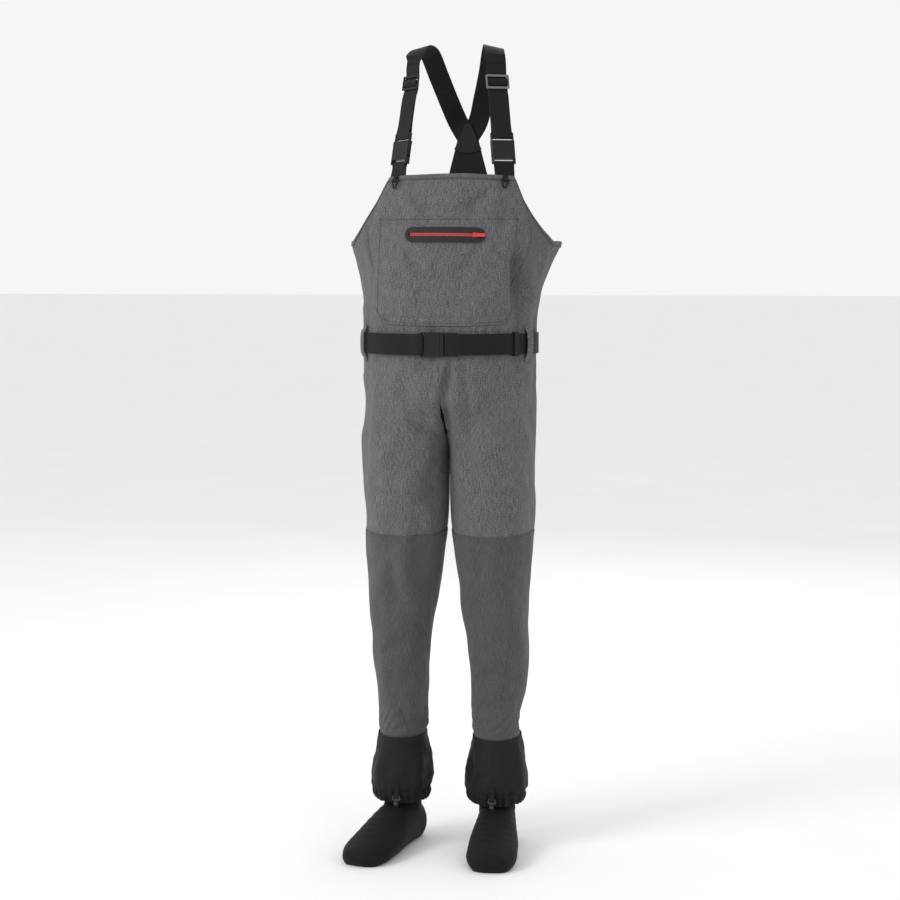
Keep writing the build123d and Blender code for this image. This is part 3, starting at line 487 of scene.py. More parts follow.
def cloth_coordinates(tree):
    node = tree.nodes.new("ShaderNodeUVMap")
    node.uv_map = UV_NAME
    return node.outputs["UV"]


def solid_coordinates(tree):
    return tree.nodes.new("ShaderNodeTexCoord").outputs["Object"]


DUST_COLOUR = (0.42, 0.42, 0.41)
CANVAS_DUST = 0.12
BLACK_DUST = 0.03                       # of the gaiters, socks and webbing
MOULDED_DUST = 0.02


def dusted(tree, colour, amount):
    """colour with a little dust over it."""
    dust = place_group(tree, effect("dust_and_rub", wear_group))
    dust.inputs["Amount"].default_value = amount
    tree.links.new(solid_coordinates(tree), dust.inputs["Place"])
    return mix_colour(tree, dust.outputs["Dust"], colour, DUST_COLOUR)


def weave_height(tree, along, across):
    """Height of a plain weave with so many threads to the metre each way."""
    weave = place_group(tree, effect("plain_weave", weave_group))
    weave.inputs["Threads Along"].default_value = along
    weave.inputs["Threads Across"].default_value = across
    tree.links.new(cloth_coordinates(tree), weave.inputs["Cloth"])
    return weave.outputs["Height"]


def light_yarn(tree, contrast=1.0):
    """Share of the lighter yarn at each place of the cloth."""
    heather = place_group(tree, effect("heather_yarn", heather_group))
    heather.inputs["Contrast"].default_value = contrast
    tree.links.new(cloth_coordinates(tree), heather.inputs["Cloth"])
    return heather.outputs["Light Yarn"]


def fine_grain(tree, cells):
    """Height and speckle of a grain with so many cells to the metre."""
    grain = place_group(tree, effect("fine_grain", grain_group))
    grain.inputs["Cells"].default_value = cells
    tree.links.new(solid_coordinates(tree), grain.inputs["Place"])
    return grain.outputs["Height"], grain.outputs["Speckle"]


def tinted(colour, factor):
    """colour made lighter or darker by factor."""
    return tuple(factor * part for part in colour)


def set_surface(shader, roughness, gloss, sheen=0.0):
    shader.inputs["Roughness"].default_value = roughness
    shader.inputs["Specular IOR Level"].default_value = gloss
    shader.inputs["Sheen Weight"].default_value = sheen


def woven_cloth(name, dark, light, contrast, threads, roughness, bump):
    """A woven cloth of two yarns, with its weave raised."""
    material, tree, shader = start_material(name)
    yarn = light_yarn(tree, contrast)
    weave = weave_height(tree, threads, threads)
    # Painted shade and painted highlight: the yarn colour is scaled from 0.85 in the weave's low places up
    # to 1.15 where its threads cross over.
    shade = math_node(tree, "ADD", math_node(tree, "MULTIPLY", weave, 0.30), 0.85)
    shadow = tree.nodes.new("ShaderNodeVectorMath")
    shadow.operation = "SCALE"
    tree.links.new(mix_colour(tree, yarn, dark, light), shadow.inputs[0])
    tree.links.new(shade, shadow.inputs["Scale"])
    tree.links.new(dusted(tree, shadow.outputs[0], CANVAS_DUST), shader.inputs["Base Color"])
    set_surface(shader, roughness, 0.25, 0.12)
    shader.inputs["Sheen Roughness"].default_value = 0.5
    slub = math_node(tree, "MULTIPLY", yarn, 0.7)
    add_bump(tree, shader, math_node(tree, "ADD", weave, slub), bump)
    return material


def canvas_material():
    dark, light = colours().canvas_dark, colours().canvas_light
    return woven_cloth("heathered_canvas", dark, light, 3.1, 1150.0, 0.85, 0.00035)


def shin_material():
    dark, light = colours().shin_dark, colours().shin_light
    return woven_cloth("fine_shin_canvas", dark, light, 2.0, 1700.0, 0.78, 0.00022)


def edging_material():
    # The tape's two yarns are the canvas's, drawn a little darker.
    dark, light = tinted(colours().canvas_dark, 0.9), tinted(colours().canvas_light, 0.85)
    return woven_cloth("edging_tape", dark, light, 1.5, 1500.0, 0.8, 0.0002)


def gaiter_material():
    """Black ripstop: a fine weave with a raised grid of thicker threads."""
    material, tree, shader = start_material("black_ripstop")
    weave = weave_height(tree, 1800.0, 1800.0)
    grid = weave_height(tree, 180.0, 180.0)
    black = tuple(colours().gaiter_black)
    colour = mix_colour(tree, light_yarn(tree), black, tinted(black, 1.9))
    tree.links.new(dusted(tree, colour, BLACK_DUST), shader.inputs["Base Color"])
    set_surface(shader, 0.6, 0.12)
    raised = math_node(tree, "POWER", grid, 6.0)
    height = math_node(tree, "ADD", math_node(tree, "MULTIPLY", weave, 0.5), raised)
    add_bump(tree, shader, height, 0.00018)
    return material


def neoprene_material():
    """Smooth knitted face over foam rubber."""
    material, tree, shader = start_material("black_neoprene")
    height, speckle = fine_grain(tree, 750.0)
    black = tuple(colours().neoprene_black)
    colour = mix_colour(tree, speckle, black, tinted(black, 2.1))
    tree.links.new(dusted(tree, colour, BLACK_DUST), shader.inputs["Base Color"])
    set_surface(shader, 0.75, 0.12, 0.03)
    add_bump(tree, shader, height, 0.00025, 0.6)
    return material


def webbing_material():
    """Black polyester webbing: a tight plain weave, finer across the band than along it."""
    material, tree, shader = start_material("black_webbing")
    weave = weave_height(tree, 620.0, 1250.0)
    black = tuple(colours().webbing_black)
    # The yarn's own mottling, times the weave's height: painted shade and painted highlight, lighter where
    # the threads cross over and darker in the weave's low places.
    yarn_and_painted_weave_shade = math_node(tree, "MULTIPLY", weave, light_yarn(tree))
    colour = mix_colour(tree, yarn_and_painted_weave_shade, black, tinted(black, 2.3))
    tree.links.new(dusted(tree, colour, BLACK_DUST), shader.inputs["Base Color"])
    set_surface(shader, 0.55, 0.14, 0.02)
    add_bump(tree, shader, weave, 0.0003)
    return material


def moulded(name, base, roughness, cells, bump, metallic=0.0, gloss=0.22):
    """Moulded plastic, cast metal or fine cloth, with a grain of so many cells to the metre."""
    material, tree, shader = start_material(name)
    height, speckle = fine_grain(tree, cells)
    colour = mix_colour(tree, speckle, base, tinted(base, 1.45))
    tree.links.new(dusted(tree, colour, MOULDED_DUST), shader.inputs["Base Color"])
    rough = math_node(tree, "MULTIPLY", speckle, 0.25)
    tree.links.new(math_node(tree, "ADD", rough, roughness - 0.12), shader.inputs["Roughness"])
    shader.inputs["Metallic"].default_value = metallic
    shader.inputs["Specular IOR Level"].default_value = gloss
    add_bump(tree, shader, height, bump)
    return material


def red_material():
    """Red lacquer of the zip's slider and pull."""
    return moulded("red_lacquer", tuple(colours().zip_red), 0.34, 600.0, 0.00002, gloss=0.4)


COIL_TURNS = 700.0                      # of the zip's coil, to the metre


def coil_material():
    """Red nylon coil: even turns across the zip, with painted shade between the turns."""
    material, tree, shader = start_material("red_zip_coil")
    wave = tree.nodes.new("ShaderNodeTexWave")
    wave.bands_direction = "X"
    wave.inputs["Scale"].default_value = COIL_TURNS * pi / 20
    tree.links.new(solid_coordinates(tree), wave.inputs["Vector"])
    red = tuple(colours().zip_red)
    # Painted shade: between the coil's turns, where the bump sinks, the red is darkened to 0.35 of itself.
    colour = mix_colour(tree, wave.outputs["Fac"], tinted(red, 0.35), red)
    tree.links.new(colour, shader.inputs["Base Color"])
    shader.inputs["Roughness"].default_value = 0.38
    add_bump(tree, shader, wave.outputs["Fac"], 0.0004)
    return material


OWN_FINISHES = {
    "canvas": canvas_material,
    "shin_canvas": shin_material,
    "edging": edging_material,
    "gaiter_cloth": gaiter_material,
    "neoprene": neoprene_material,
    "webbing": webbing_material,
    "zip_coil": coil_material,
    "zip_red": red_material,
}
# Name, colour, roughness, cells of the grain to the metre and its height, then metallic where it is.
MOULDED_FINISHES = {
    "neoprene_sole": ("textured_sole", (0.008, 0.008, 0.009), 0.78, 420.0, 0.0005),
    "zip_laminate": ("matt_laminate", (0.014, 0.014, 0.015), 0.62, 1500.0, 0.00004),
    "zip_tape": ("zip_tape_cloth", (0.035, 0.012, 0.013), 0.8, 1300.0, 0.0001),
    "patch": ("black_leather", (0.010, 0.0095, 0.0095), 0.46, 520.0, 0.00025),
    "elastic": ("black_elastic", (0.009, 0.009, 0.009), 0.8, 900.0, 0.0002),
    # Painted highlight: the grey of one strap adjuster stands for the light that it catches; the two
    # adjusters are alike, and the other one is black plastic.
    "grey_hardware": ("grey_moulded_metal", (0.13, 0.133, 0.137), 0.40, 1400.0, 0.00003, 0.55),
    "dark_metal": ("blackened_metal", (0.055, 0.055, 0.058), 0.36, 1400.0, 0.00003, 0.85),
    "black_plastic": ("black_moulded_plastic", (0.0075, 0.0075, 0.0080), 0.42, 1300.0, 0.00004),
    "thread": ("grey_thread", (0.045, 0.045, 0.047), 0.7, 1800.0, 0.0001),
    "black_thread": ("black_thread", (0.016, 0.016, 0.017), 0.7, 1800.0, 0.0001),
}


def made_finish(name):
    """A new material for one finish."""
    if name in OWN_FINISHES:
        return OWN_FINISHES[name]()
    return moulded(*MOULDED_FINISHES[name])


def finish_named(name):
    """The material of one finish, made the first time that it is asked for."""
    key = "finish_" + name
    if key not in bpy.data.materials:
        made_finish(name).name = key
    return bpy.data.materials[key]


# ================================================================ meshes
def new_piece(name, points, faces, finish, uv=None):
    """A mesh object from points above the soles. uv holds each point's place on the cloth, in metres."""
    mesh = bpy.data.meshes.new(name)
    lowered = np.array(points, float).reshape(-1, 3) + (0, 0, SOLES)
    mesh.from_pydata(lowered.tolist(), [], [list(map(int, face)) for face in faces])
    mesh.validate()
    if uv is not None:
        layer = mesh.uv_layers.new(name=UV_NAME)
        corner = np.zeros(len(mesh.loops), int)
        mesh.loops.foreach_get("vertex_index", corner)
        layer.data.foreach_set("uv", np.array(uv, float).reshape(-1, 2)[corner].astype(np.float32).ravel())
    mesh.polygons.foreach_set("use_smooth", [True] * len(mesh.polygons))
    mesh.materials.append(finish_named(finish))
    mesh.update()
    piece = bpy.data.objects.new(name, mesh)
    bpy.context.scene.collection.objects.link(piece)
    return piece


def grid_faces(rows, columns, closed=False, flip=False, first=0):
    """Quads of a grid of points in rows, whose columns may run round and meet."""
    faces = []
    last = columns if closed else columns - 1
    for row in range(rows - 1):
        for column in range(last):
            after = (column + 1) % columns
            a = first + row * columns + column
            b = first + row * columns + after
            c = first + (row + 1) * columns + after
            d = first + (row + 1) * columns + column
            faces.append((d, c, b, a) if flip else (a, b, c, d))
    return faces


def capped_tube(rings, first=0):
    """Faces of a closed tube through rings of points, with a face over each end."""
    count, columns = rings.shape[:2]
    faces = grid_faces(count, columns, closed=True, first=first)
    faces.append(tuple(first + i for i in range(columns))[::-1])
    faces.append(tuple(first + (count - 1) * columns + i for i in range(columns)))
    return faces


def grid_normals(points, closed=False):
    """The unit normals of a grid of points, by the differences of its neighbours."""
    if closed:
        along = np.roll(points, -1, axis=1) - np.roll(points, 1, axis=1)
    else:
        along = np.gradient(points, axis=1)
    up = np.gradient(points, axis=0)
    normal = np.cross(along, up)
    return normal / np.maximum(np.linalg.norm(normal, axis=2, keepdims=True), 1e-12)


def thicken(piece, wall):
    """Gives a surface its wall, inward from the outer face."""
    solid = piece.modifiers.new("wall", "SOLIDIFY")
    solid.thickness = wall
    solid.offset = -1.0
    solid.use_even_offset = False
    solid.use_rim = True
    apply_modifiers(piece)


def apply_modifiers(piece):
    """Bakes the modifiers of a piece into its mesh."""
    graph = bpy.context.evaluated_depsgraph_get()
    made = bpy.data.meshes.new_from_object(piece.evaluated_get(graph))
    old = piece.data
    piece.modifiers.clear()
    piece.data = made
    bpy.data.meshes.remove(old)


def cloth_places(points):
    """Each point's distance along its row and up its column, as places on the flat cloth."""
    along = np.linalg.norm(np.diff(points, axis=1), axis=2)
    along = np.concatenate([np.zeros((len(points), 1)), np.cumsum(along, axis=1)], axis=1)
    up = np.linalg.norm(np.diff(points, axis=0), axis=2)
    up = np.concatenate([np.zeros((1, points.shape[1])), np.cumsum(up, axis=0)], axis=0)
    middle = points.shape[1] // 2
    along = along - along[:, middle:middle + 1]
    return np.stack([along, np.broadcast_to(up[:, middle:middle + 1], along.shape)], axis=2)


def outward_faces(points, normal, closed=False):
    """Quads of a grid of points, wound so that they face along normal."""
    inward = np.sum(grid_normals(points, closed) * normal) < 0
    return grid_faces(*points.shape[:2], closed, inward)


def cloth_panel(name, points, normal, finish, nodes, wall=CLOTH, closed=False):
    """A panel of cloth from a grid of points, with its wall inside it, riding on the garment."""
    faces = outward_faces(points, normal, closed)
    piece = new_piece(name, points, faces, finish, cloth_places(points))
    thicken(piece, wall)
    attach(piece, "garment")
    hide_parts(*nodes)
    return piece


STITCH_WIDTH = 0.0006
STITCH_WALL = 0.0004
STITCH_GAP = 0.25                       # of a stitch's length, before the next
# Share of a stitch's length, height over the cloth and share of its width, for each of its rings.
STITCH_RINGS = ((0.0, -0.0002, 0.6), (0.25, 0.00035, 1.0), (0.75, 0.00035, 1.0), (1.0, -0.0002, 0.6))


def stitch_row(name, line, outward, finish="thread"):
    """A row of stitches lying along line, each a small raised bar sunk at its ends."""
    line = np.array(line, float)
    outward = np.array(outward, float)
    run = run_along(line)
    pitch = sizes().stitch_length * (1 + STITCH_GAP)
    count = max(2, int(run[-1] / pitch))
    points, faces = [], []
    for number in range(count):
        start = (number + 0.1) * run[-1] / count
        end = (number + 0.9) * run[-1] / count
        tail, head, out = (
            np.array([np.interp(place, run, values[:, axis]) for axis in range(3)])
            for place, values in ((start, line), (end, line), ((start + end) / 2, outward)))
        ahead = unit(head - tail)
        side = unit(np.cross(out, ahead)) * STITCH_WIDTH / 2
        first = len(points)
        for share, lift, spread in STITCH_RINGS:
            place = tail + (head - tail) * share + out * lift
            low = -out * STITCH_WALL
            near, far = place + side * spread, place - side * spread
            points += [near, far, far + low, near + low]
        for ring in range(3):
            base = first + 4 * ring
            for corner in range(4):
                after = (corner + 1) % 4
                faces.append((base + corner, base + after, base + 4 + after, base + 4 + corner))
        faces.append((first + 3, first + 2, first + 1, first))
        faces.append((first + 12, first + 13, first + 14, first + 15))
    piece = new_piece(name, points, faces, finish)
    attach(piece, "garment")


# ================================================================ folds of the cloth
# Each crease runs from one place to another on the front or back, as (across, height), with the
# half width of its valley, its depth and how far its middle bows. A bow is to the right of the way
# from start to end, with +X drawn to the right.
FRONT_CREASES = [
    ((0.020, 0.922), (0.004, 0.762), 0.0085, 0.0085, 0.004),
    ((0.042, 0.915), (0.046, 0.720), 0.0080, 0.0045, -0.006),
    ((-0.004, 0.765), (-0.046, 0.640), 0.0130, 0.0075, -0.008),
    ((-0.006, 0.775), (-0.070, 0.812), 0.0100, 0.0050, 0.000),
    ((-0.010, 0.800), (-0.086, 0.868), 0.0140, 0.0040, 0.000),
    ((0.010, 0.770), (0.070, 0.700), 0.0140, 0.0036, 0.000),
    ((0.072, 0.918), (0.066, 0.860), 0.0070, 0.0032, 0.000),
    ((-0.046, 0.640), (-0.052, 0.470), 0.0150, 0.0050, -0.004),
    ((0.132, 1.120), (0.146, 0.972), 0.0110, 0.0130, 0.003),
    ((-0.060, 1.222), (-0.014, 1.176), 0.0090, 0.0042, 0.000),
    ((0.100, 1.228), (0.040, 1.178), 0.0100, 0.0046, 0.000),
    ((0.118, 1.190), (0.106, 1.040), 0.0120, 0.0036, 0.004),
    ((-0.066, 1.120), (-0.026, 1.064), 0.0085, 0.0036, 0.000),
    ((0.078, 1.122), (0.030, 1.062), 0.0095, 0.0036, 0.000),
    ((0.094, 1.110), (0.052, 1.020), 0.0120, 0.0028, 0.000),
    ((-0.095, 0.545), (-0.070, 0.440), 0.0140, 0.0060, 0.012),
    ((-0.118, 0.372), (-0.068, 0.392), 0.0110, 0.0042, 0.000),
    ((-0.110, 0.330), (-0.062, 0.300), 0.0120, 0.0036, 0.000),
    ((0.064, 0.560), (0.090, 0.420), 0.0130, 0.0045, 0.010),
    ((0.058, 0.318), (0.104, 0.345), 0.0120, 0.0050, 0.000),
    ((0.066, 0.275), (0.116, 0.262), 0.0110, 0.0034, 0.000),
    ((-0.088, 0.262), (-0.060, 0.228), 0.0090, 0.0034, 0.000),
]
BACK_CREASES = [
    ((-0.010, 0.925), (-0.004, 0.770), 0.0100, 0.0060, 0.003),
    ((0.008, 0.790), (0.090, 0.700), 0.0150, 0.0055, 0.000),
    ((-0.008, 0.790), (-0.088, 0.705), 0.0150, 0.0055, 0.000),
    ((-0.130, 0.905), (-0.060, 0.850), 0.0120, 0.0036, 0.000),
    ((0.120, 0.900), (0.055, 0.845), 0.0120, 0.0036, 0.000),
    ((-0.120, 1.080), (-0.060, 1.000), 0.0130, 0.0040, 0.000),
    ((0.130, 1.085), (0.064, 1.010), 0.0130, 0.0040, 0.000),
    ((0.000, 1.090), (0.004, 0.980), 0.0120, 0.0030, 0.006),
    ((-0.130, 0.612), (-0.040, 0.590), 0.0110, 0.0058, 0.000),
    ((-0.125, 0.572), (-0.045, 0.590), 0.0100, 0.0050, 0.000),
    ((0.130, 0.606), (0.040, 0.584), 0.0110, 0.0058, 0.000),
    ((0.125, 0.560), (0.045, 0.588), 0.0100, 0.0050, 0.000),
    ((-0.112, 0.300), (-0.070, 0.260), 0.0110, 0.0040, 0.000),
    ((0.112, 0.290), (0.072, 0.250), 0.0110, 0.0040, 0.000),
]
GATHER_REACH = (0.070, 0.040)           # below and above the belt
GATHER_EDGE = 0.02                      # the gathers are deepest within this of the belt's middle
STRAP_REST = 0.028                      # the cloth lies flat this near to a strap's seam
ZIP_REST = (0.088, 0.034)
LOOP_REST = 0.016
SWELLS = (                              # squeeze in height, wavelength, seed and share of the crumple
    (0.7, 0.110, 11, 1.2),
    (0.6, 0.048, 23, 0.6),
    (0.45, 0.026, 37, 0.28),
)
RIPPLE_DEPTH = 0.0013                   # of the rings where the cloth piles up over the gaiter
RIPPLE_PITCH = 0.021
UNDER_GAITER = 0.12                     # share of the folds that is left inside the gaiter
INNER_LEG = 0.8                         # share of the folds that is taken away between the legs
BELT_ZONE = 0.034                       # reach, from the belt's middle, of the cloth it holds down
ABOVE_BELT = 0.0030                     # how far the folds may stand out at the edge of that zone
HELD_DOWN = 0.0027                      # and how much less under the belt
CORNER_LEAN = 0.80                      # share of the half width where the armholes run, kept smooth


def crease(across, height, start, end, width, depth, bow):
    """Valley with a soft ridge at each side, along a slightly bowed line."""
    start = np.array(start)
    way = np.array(end) - start
    length = np.hypot(*way)
    way = way / length
    ahead = ((across - start[0]) * way[0] + (height - start[1]) * way[1]) / length
    aside = (across - start[0]) * way[1] - (height - start[1]) * way[0]
    aside = aside - bow * 4 * ahead * (1 - ahead)
    spread = width * (1 + 0.7 * np.clip(ahead, 0, 1))
    share = (aside / spread) ** 2
    fade = ease(-0.10, 0.22, ahead) * (1 - ease(0.62, 1.12, ahead))
    return -depth * (1 - 0.8 * share) * np.exp(-share / 1.6) * fade


def calm(points):
    """0 where something sewn on keeps the cloth flat, and 1 elsewhere."""
    x, y, height = points[..., 0], points[..., 1], points[..., 2]
    free = np.ones(x.shape)
    front = y < 0
    for side in (-1, 1):
        across = (x - side * STRAP_SPACING - SWAY) / STRAP_REST
        near = across**2 + ((height - BIB_CORNERS + 0.006) / STRAP_REST) ** 2
        free = free * np.where(front, 1 - np.exp(-near**2), 1.0)
    near = ((x - sway(ZIP)) / ZIP_REST[0]) ** 2 + ((height - ZIP) / ZIP_REST[1]) ** 2
    return free * np.where(front, 1 - np.exp(-near**3), 1.0)


def at_loop(points):
    """1 beside the sewn ends of the belt loops, where the cloth keeps to the waist's oval."""
    found = np.zeros(points.shape[:-1])
    for angles in LOOP_ANGLES.values():
        for angle in angles:
            turn = radians(angle)
            place = (WAIST[0] * sin(turn), -WAIST[1] * cos(turn))
            apart = np.hypot(points[..., 0] - place[0], points[..., 1] - place[1])
            found = np.maximum(found, bell(apart, 0, LOOP_REST) * bell(points[..., 2], BELT, 0.05))
    return found


def fold_height(points):
    """How far the cloth stands out from its smooth shape at each point of it."""
    x, y, height = points[..., 0], points[..., 1], points[..., 2]
    scale = sizes().crease_depth
    front_share = 1 - ease(-0.02, 0.02, y)
    front = sum(crease(x, height, *row) for row in FRONT_CREASES) * front_share
    back = sum(crease(x, height, *row) for row in BACK_CREASES) * (1 - front_share)
    out = scale * (front + back)

    near_belt = np.where(
        height < BELT,
        np.exp(-np.maximum(BELT - GATHER_EDGE - height, 0) / GATHER_REACH[0]),
        np.exp(-np.maximum(height - BELT - GATHER_EDGE, 0) / GATHER_REACH[1]))
    turn = np.arctan2(x / WAIST[0], -y / WAIST[1])
    gathers = (np.sin(17 * turn + 1.1 * np.sin(3 * turn + 0.4))
               + 0.6 * np.sin(29 * turn + 2.0 * np.sin(2 * turn))
               + 0.4 * np.sin(41 * turn + 1.3))
    strength = 0.55 + 0.45 * np.sin(turn * 1.5 + 0.5)
    on_trunk = ease(0.80, 0.84, height) * (1 - ease(1.03, 1.08, height))
    out = out + sizes().gather_depth * 0.6 * gathers * strength * near_belt * on_trunk

    swell = sum(undulation(points * (1.0, 1.0, squeeze), wavelength, seed) * part
                for squeeze, wavelength, seed, part in SWELLS)
    out = out + sizes().crumple * swell

    ankle = bell(height, LEG_HEM + 0.020, 0.035) * (height < KNEE)
    wander = height + 0.02 * np.sin(9 * turn) + 0.006 * np.sin(31 * x)
    ripple = np.sin(wander * 2 * pi / RIPPLE_PITCH)
    in_sight = ease(GAITER_TOP, GAITER_TOP + 0.014, height)
    out = (out + RIPPLE_DEPTH * ankle * ripple) * (UNDER_GAITER + (1 - UNDER_GAITER) * in_sight)

    inner_leg = (height < CROTCH + 0.03) * (1 - ease(0.004, 0.030, np.abs(x)))
    out = out * (1 - INNER_LEG * inner_leg)
    held = bell(height, BELT, BELT_ZONE)
    out = np.where(held > 0.05, np.minimum(out, ABOVE_BELT - HELD_DOWN * held), out)
    out = out * (1 - 0.85 * at_loop(points))
    half_width = smooth_table(TRUNK_ROWS, height)[..., 0]
    lean = np.abs(x - sway(height)) / half_width
    armhole = bell(lean, CORNER_LEAN, 0.055) * ease(BELT + 0.10, SIDE_CORNERS - 0.03, height)
    out = out * (1 - 0.97 * armhole)
    return out * calm(points)


def folded(points, axis):
    """Points pushed out by the folds, and their normals, turned to lead away from axis."""
    normal = grid_normals(points)
    away = points - np.array(axis)
    away[..., 2] = 0
    if np.mean(np.sum(normal * away, axis=2)) < 0:
        normal = -normal
    return points + normal * fold_height(points)[..., None], normal


# ================================================================ the bib
BIB_ROWS = 130
BIB_COLUMNS = 261


def armhole_reach(height):
    """Half width of the bib's outline at a height between the side corners and the top."""
    low = 0.95 * CHEST[0]
    share = np.clip((np.asarray(height, float) - SIDE_CORNERS) / (BIB_CORNERS - SIDE_CORNERS), 0, 1)
    hollow = 0.0064 * 4 * share * (1 - share)
    return low + (BIB_CORNER - low) * share - hollow


def bib_top(turn):
    """Height of the bib's upper edge at an angle round the trunk from the front."""
    heights = np.linspace(SIDE_CORNERS, BIB_CORNERS, 240)
    half_width = smooth_table(TRUNK_ROWS, heights)[:, 0]
    across = half_width * abs(sin(turn))
    inside = across <= armhole_reach(heights)
    if inside[-1]:
        return BIB_CORNERS + BIB_CROWN * (1 - (across[-1] / BIB_CORNER) ** 2)
    if not inside.any():
        return SIDE_CORNERS
    last = int(np.nonzero(inside)[0][-1])
    over = across - armhole_reach(heights)
    share = over[last] / (over[last] - over[last + 1])
    return heights[last] + share * (heights[last + 1] - heights[last])


def back_top(turn):
    """Height of the back panel's upper edge at an angle round the trunk from the front."""
    ends = SIDE_CORNERS + 0.2 * (SIDE_CORNERS - BACK_MIDDLE)
    across = CHEST[0] * sin(turn) / (CHEST[0] + 0.030)
    return BACK_MIDDLE + (ends - BACK_MIDDLE) * across**2


def trunk_grid(turns, tops, rows):
    """Points of the trunk in columns at turns, from the belt up to tops."""
    share = np.linspace(0, 1, rows)[:, None]
    height = BELT + share * (np.array(tops)[None, :] - BELT)
    axes = smooth_table(TRUNK_ROWS, height)
    turn = np.array(turns)[None, :]
    x = sway(height) + axes[..., 0] * np.sin(turn)
    y = -axes[..., 1] * np.cos(turn)
    return np.stack([x, y, height], axis=2)


def bib_turns():
    """Angles of the bib's columns, with one at each upper corner."""
    half_width = smooth_table(TRUNK_ROWS, np.array([BIB_CORNERS]))[0, 0]
    corner = np.arcsin(BIB_CORNER / half_width)
    middle = np.linspace(-corner, corner, 2 * (BIB_COLUMNS // 4) + 1)
    outer = np.linspace(corner, pi / 2, BIB_COLUMNS // 4 + 1)[1:]
    return np.concatenate([-outer[::-1], middle, outer])


def bib_grid(back=False):
    if back:
        turns = np.linspace(pi / 2, 3 * pi / 2, 201)
        return trunk_grid(turns, [back_top(turn) for turn in turns], BIB_ROWS)
    turns = bib_turns()
    return trunk_grid(turns, [bib_top(turn) for turn in turns], BIB_ROWS)


def edge_binding(name, grid, normal, nodes):
    """A folded tape over the upper edge of a panel, stitched through."""
    edge = grid[-1]
    outward = normal[-1]
    down = unit_rows(grid[-4] - grid[-1])
    wall = SKIN_GAP + BINDING_WALL
    inner = CLOTH + SKIN_GAP + BINDING_WALL
    profile = [
        (BINDING, wall * 0.55), (BINDING - 0.0006, wall), (0.003, wall), (0.0004, wall * 0.8),
        (-0.0011, 0.0003), (-0.0012, -CLOTH / 2), (-0.0008, -inner * 0.8), (0.0010, -inner),
        (BINDING * 0.9, -inner), (BINDING, -inner * 0.8), (BINDING, -CLOTH), (0.0006, -CLOTH * 0.98),
        (0.0004, -CLOTH / 2), (0.0006, 0.0), (BINDING - 0.0004, 0.0002),
    ]
    rings = [edge + down * low + outward * out for low, out in profile]
    points = np.stack(rings, axis=1)
    faces = capped_tube(points)
    around = run_along(np.array(profile))
    uv = np.stack(np.broadcast_arrays(run_along(edge)[:, None], around[None, :]), axis=2)
    piece = new_piece(name, points, faces, "edging", uv)
    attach(piece, "garment")
    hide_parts(*nodes)
    stitch_row(name + "_stitches", edge + down * (BINDING - 0.0018) + outward * (wall + 0.0001), outward,
               "black_thread")


class WADERS_OT_bib(bpy.types.Operator):
    """Makes the bib, the back panel and the tapes that bind their upper edges"""

    bl_idname = "waders.bib"
    bl_label = "Bib"

    def execute(self, context):
        for back, name in ((False, "bib_front_panel"), (True, "bib_back_panel")):
            points, normal = folded(bib_grid(back), (0, 0, 1))
            cloth_panel(name + "_cloth", points, normal, "canvas", [name])
            tape = "back_binding" if back else "bib_binding"
            edge_binding(tape + "_tape", points, normal, [tape])
        return {"FINISHED"}


# ================================================================ trousers
LEG_COLUMNS = 76
THIGH_LINES = 130
SHIN_LINES = 130
CROTCH_EASE = 0.118                     # height over which the trunk's oval becomes two legs
SEAM_DIP = 0.006                        # the knee's seam is this much lower in the middle
HEM_DIP = 0.004                         # and the leg's hem by this much
KNEE_LAP = 0.006                        # the shin panel reaches this far over the thigh's


def half_leg(side, front, heights):
    """Points of one half of a leg from the side seam to the middle, and of the hip above it.

    heights is a grid of heights, one row for each line round the leg."""
    share = np.linspace(0, 1, heights.shape[1])[None, :]
    facing = -1 if front else 1
    trunk = smooth_table(TRUNK_ROWS, heights)
    turn = share * pi / 2
    trunk_x = trunk[..., 0] * np.cos(turn)
    trunk_y = trunk[..., 1] * np.sin(turn)
    leg = smooth_table(LEG_ROWS, heights)
    turn = share * pi
    leg_x = leg[..., 0] + leg[..., 1] * np.cos(turn)
    leg_y = leg[..., 2] * np.sin(turn)
    blend = 1 - ease(CROTCH - 0.004, CROTCH + CROTCH_EASE, heights)
    blend = blend**1.4
    x = trunk_x * (1 - blend) + leg_x * blend
    y = trunk_y * (1 - blend) + leg_y * blend
    apart = 0.0025 * (1 - ease(CROTCH - 0.05, CROTCH, heights)) + 0.0012
    x = np.maximum(x, apart * (0.2 + 0.8 * blend))
    x = np.where((share == 1) & (blend < 1), 0.0, x)
    return np.stack([side * x, facing * y, heights], axis=2)


def leg_lines(low, high, count, dip_low=0.0, dip_high=0.0):
    """A grid of heights between two seams, each of which may dip in the middle of the panel."""
    share = np.linspace(0, 1, count)[:, None]
    across = np.sin(np.linspace(0, pi, LEG_COLUMNS))[None, :]
    bottom = low - dip_low * across
    top = high - dip_high * across
    return bottom + share * (top - bottom)


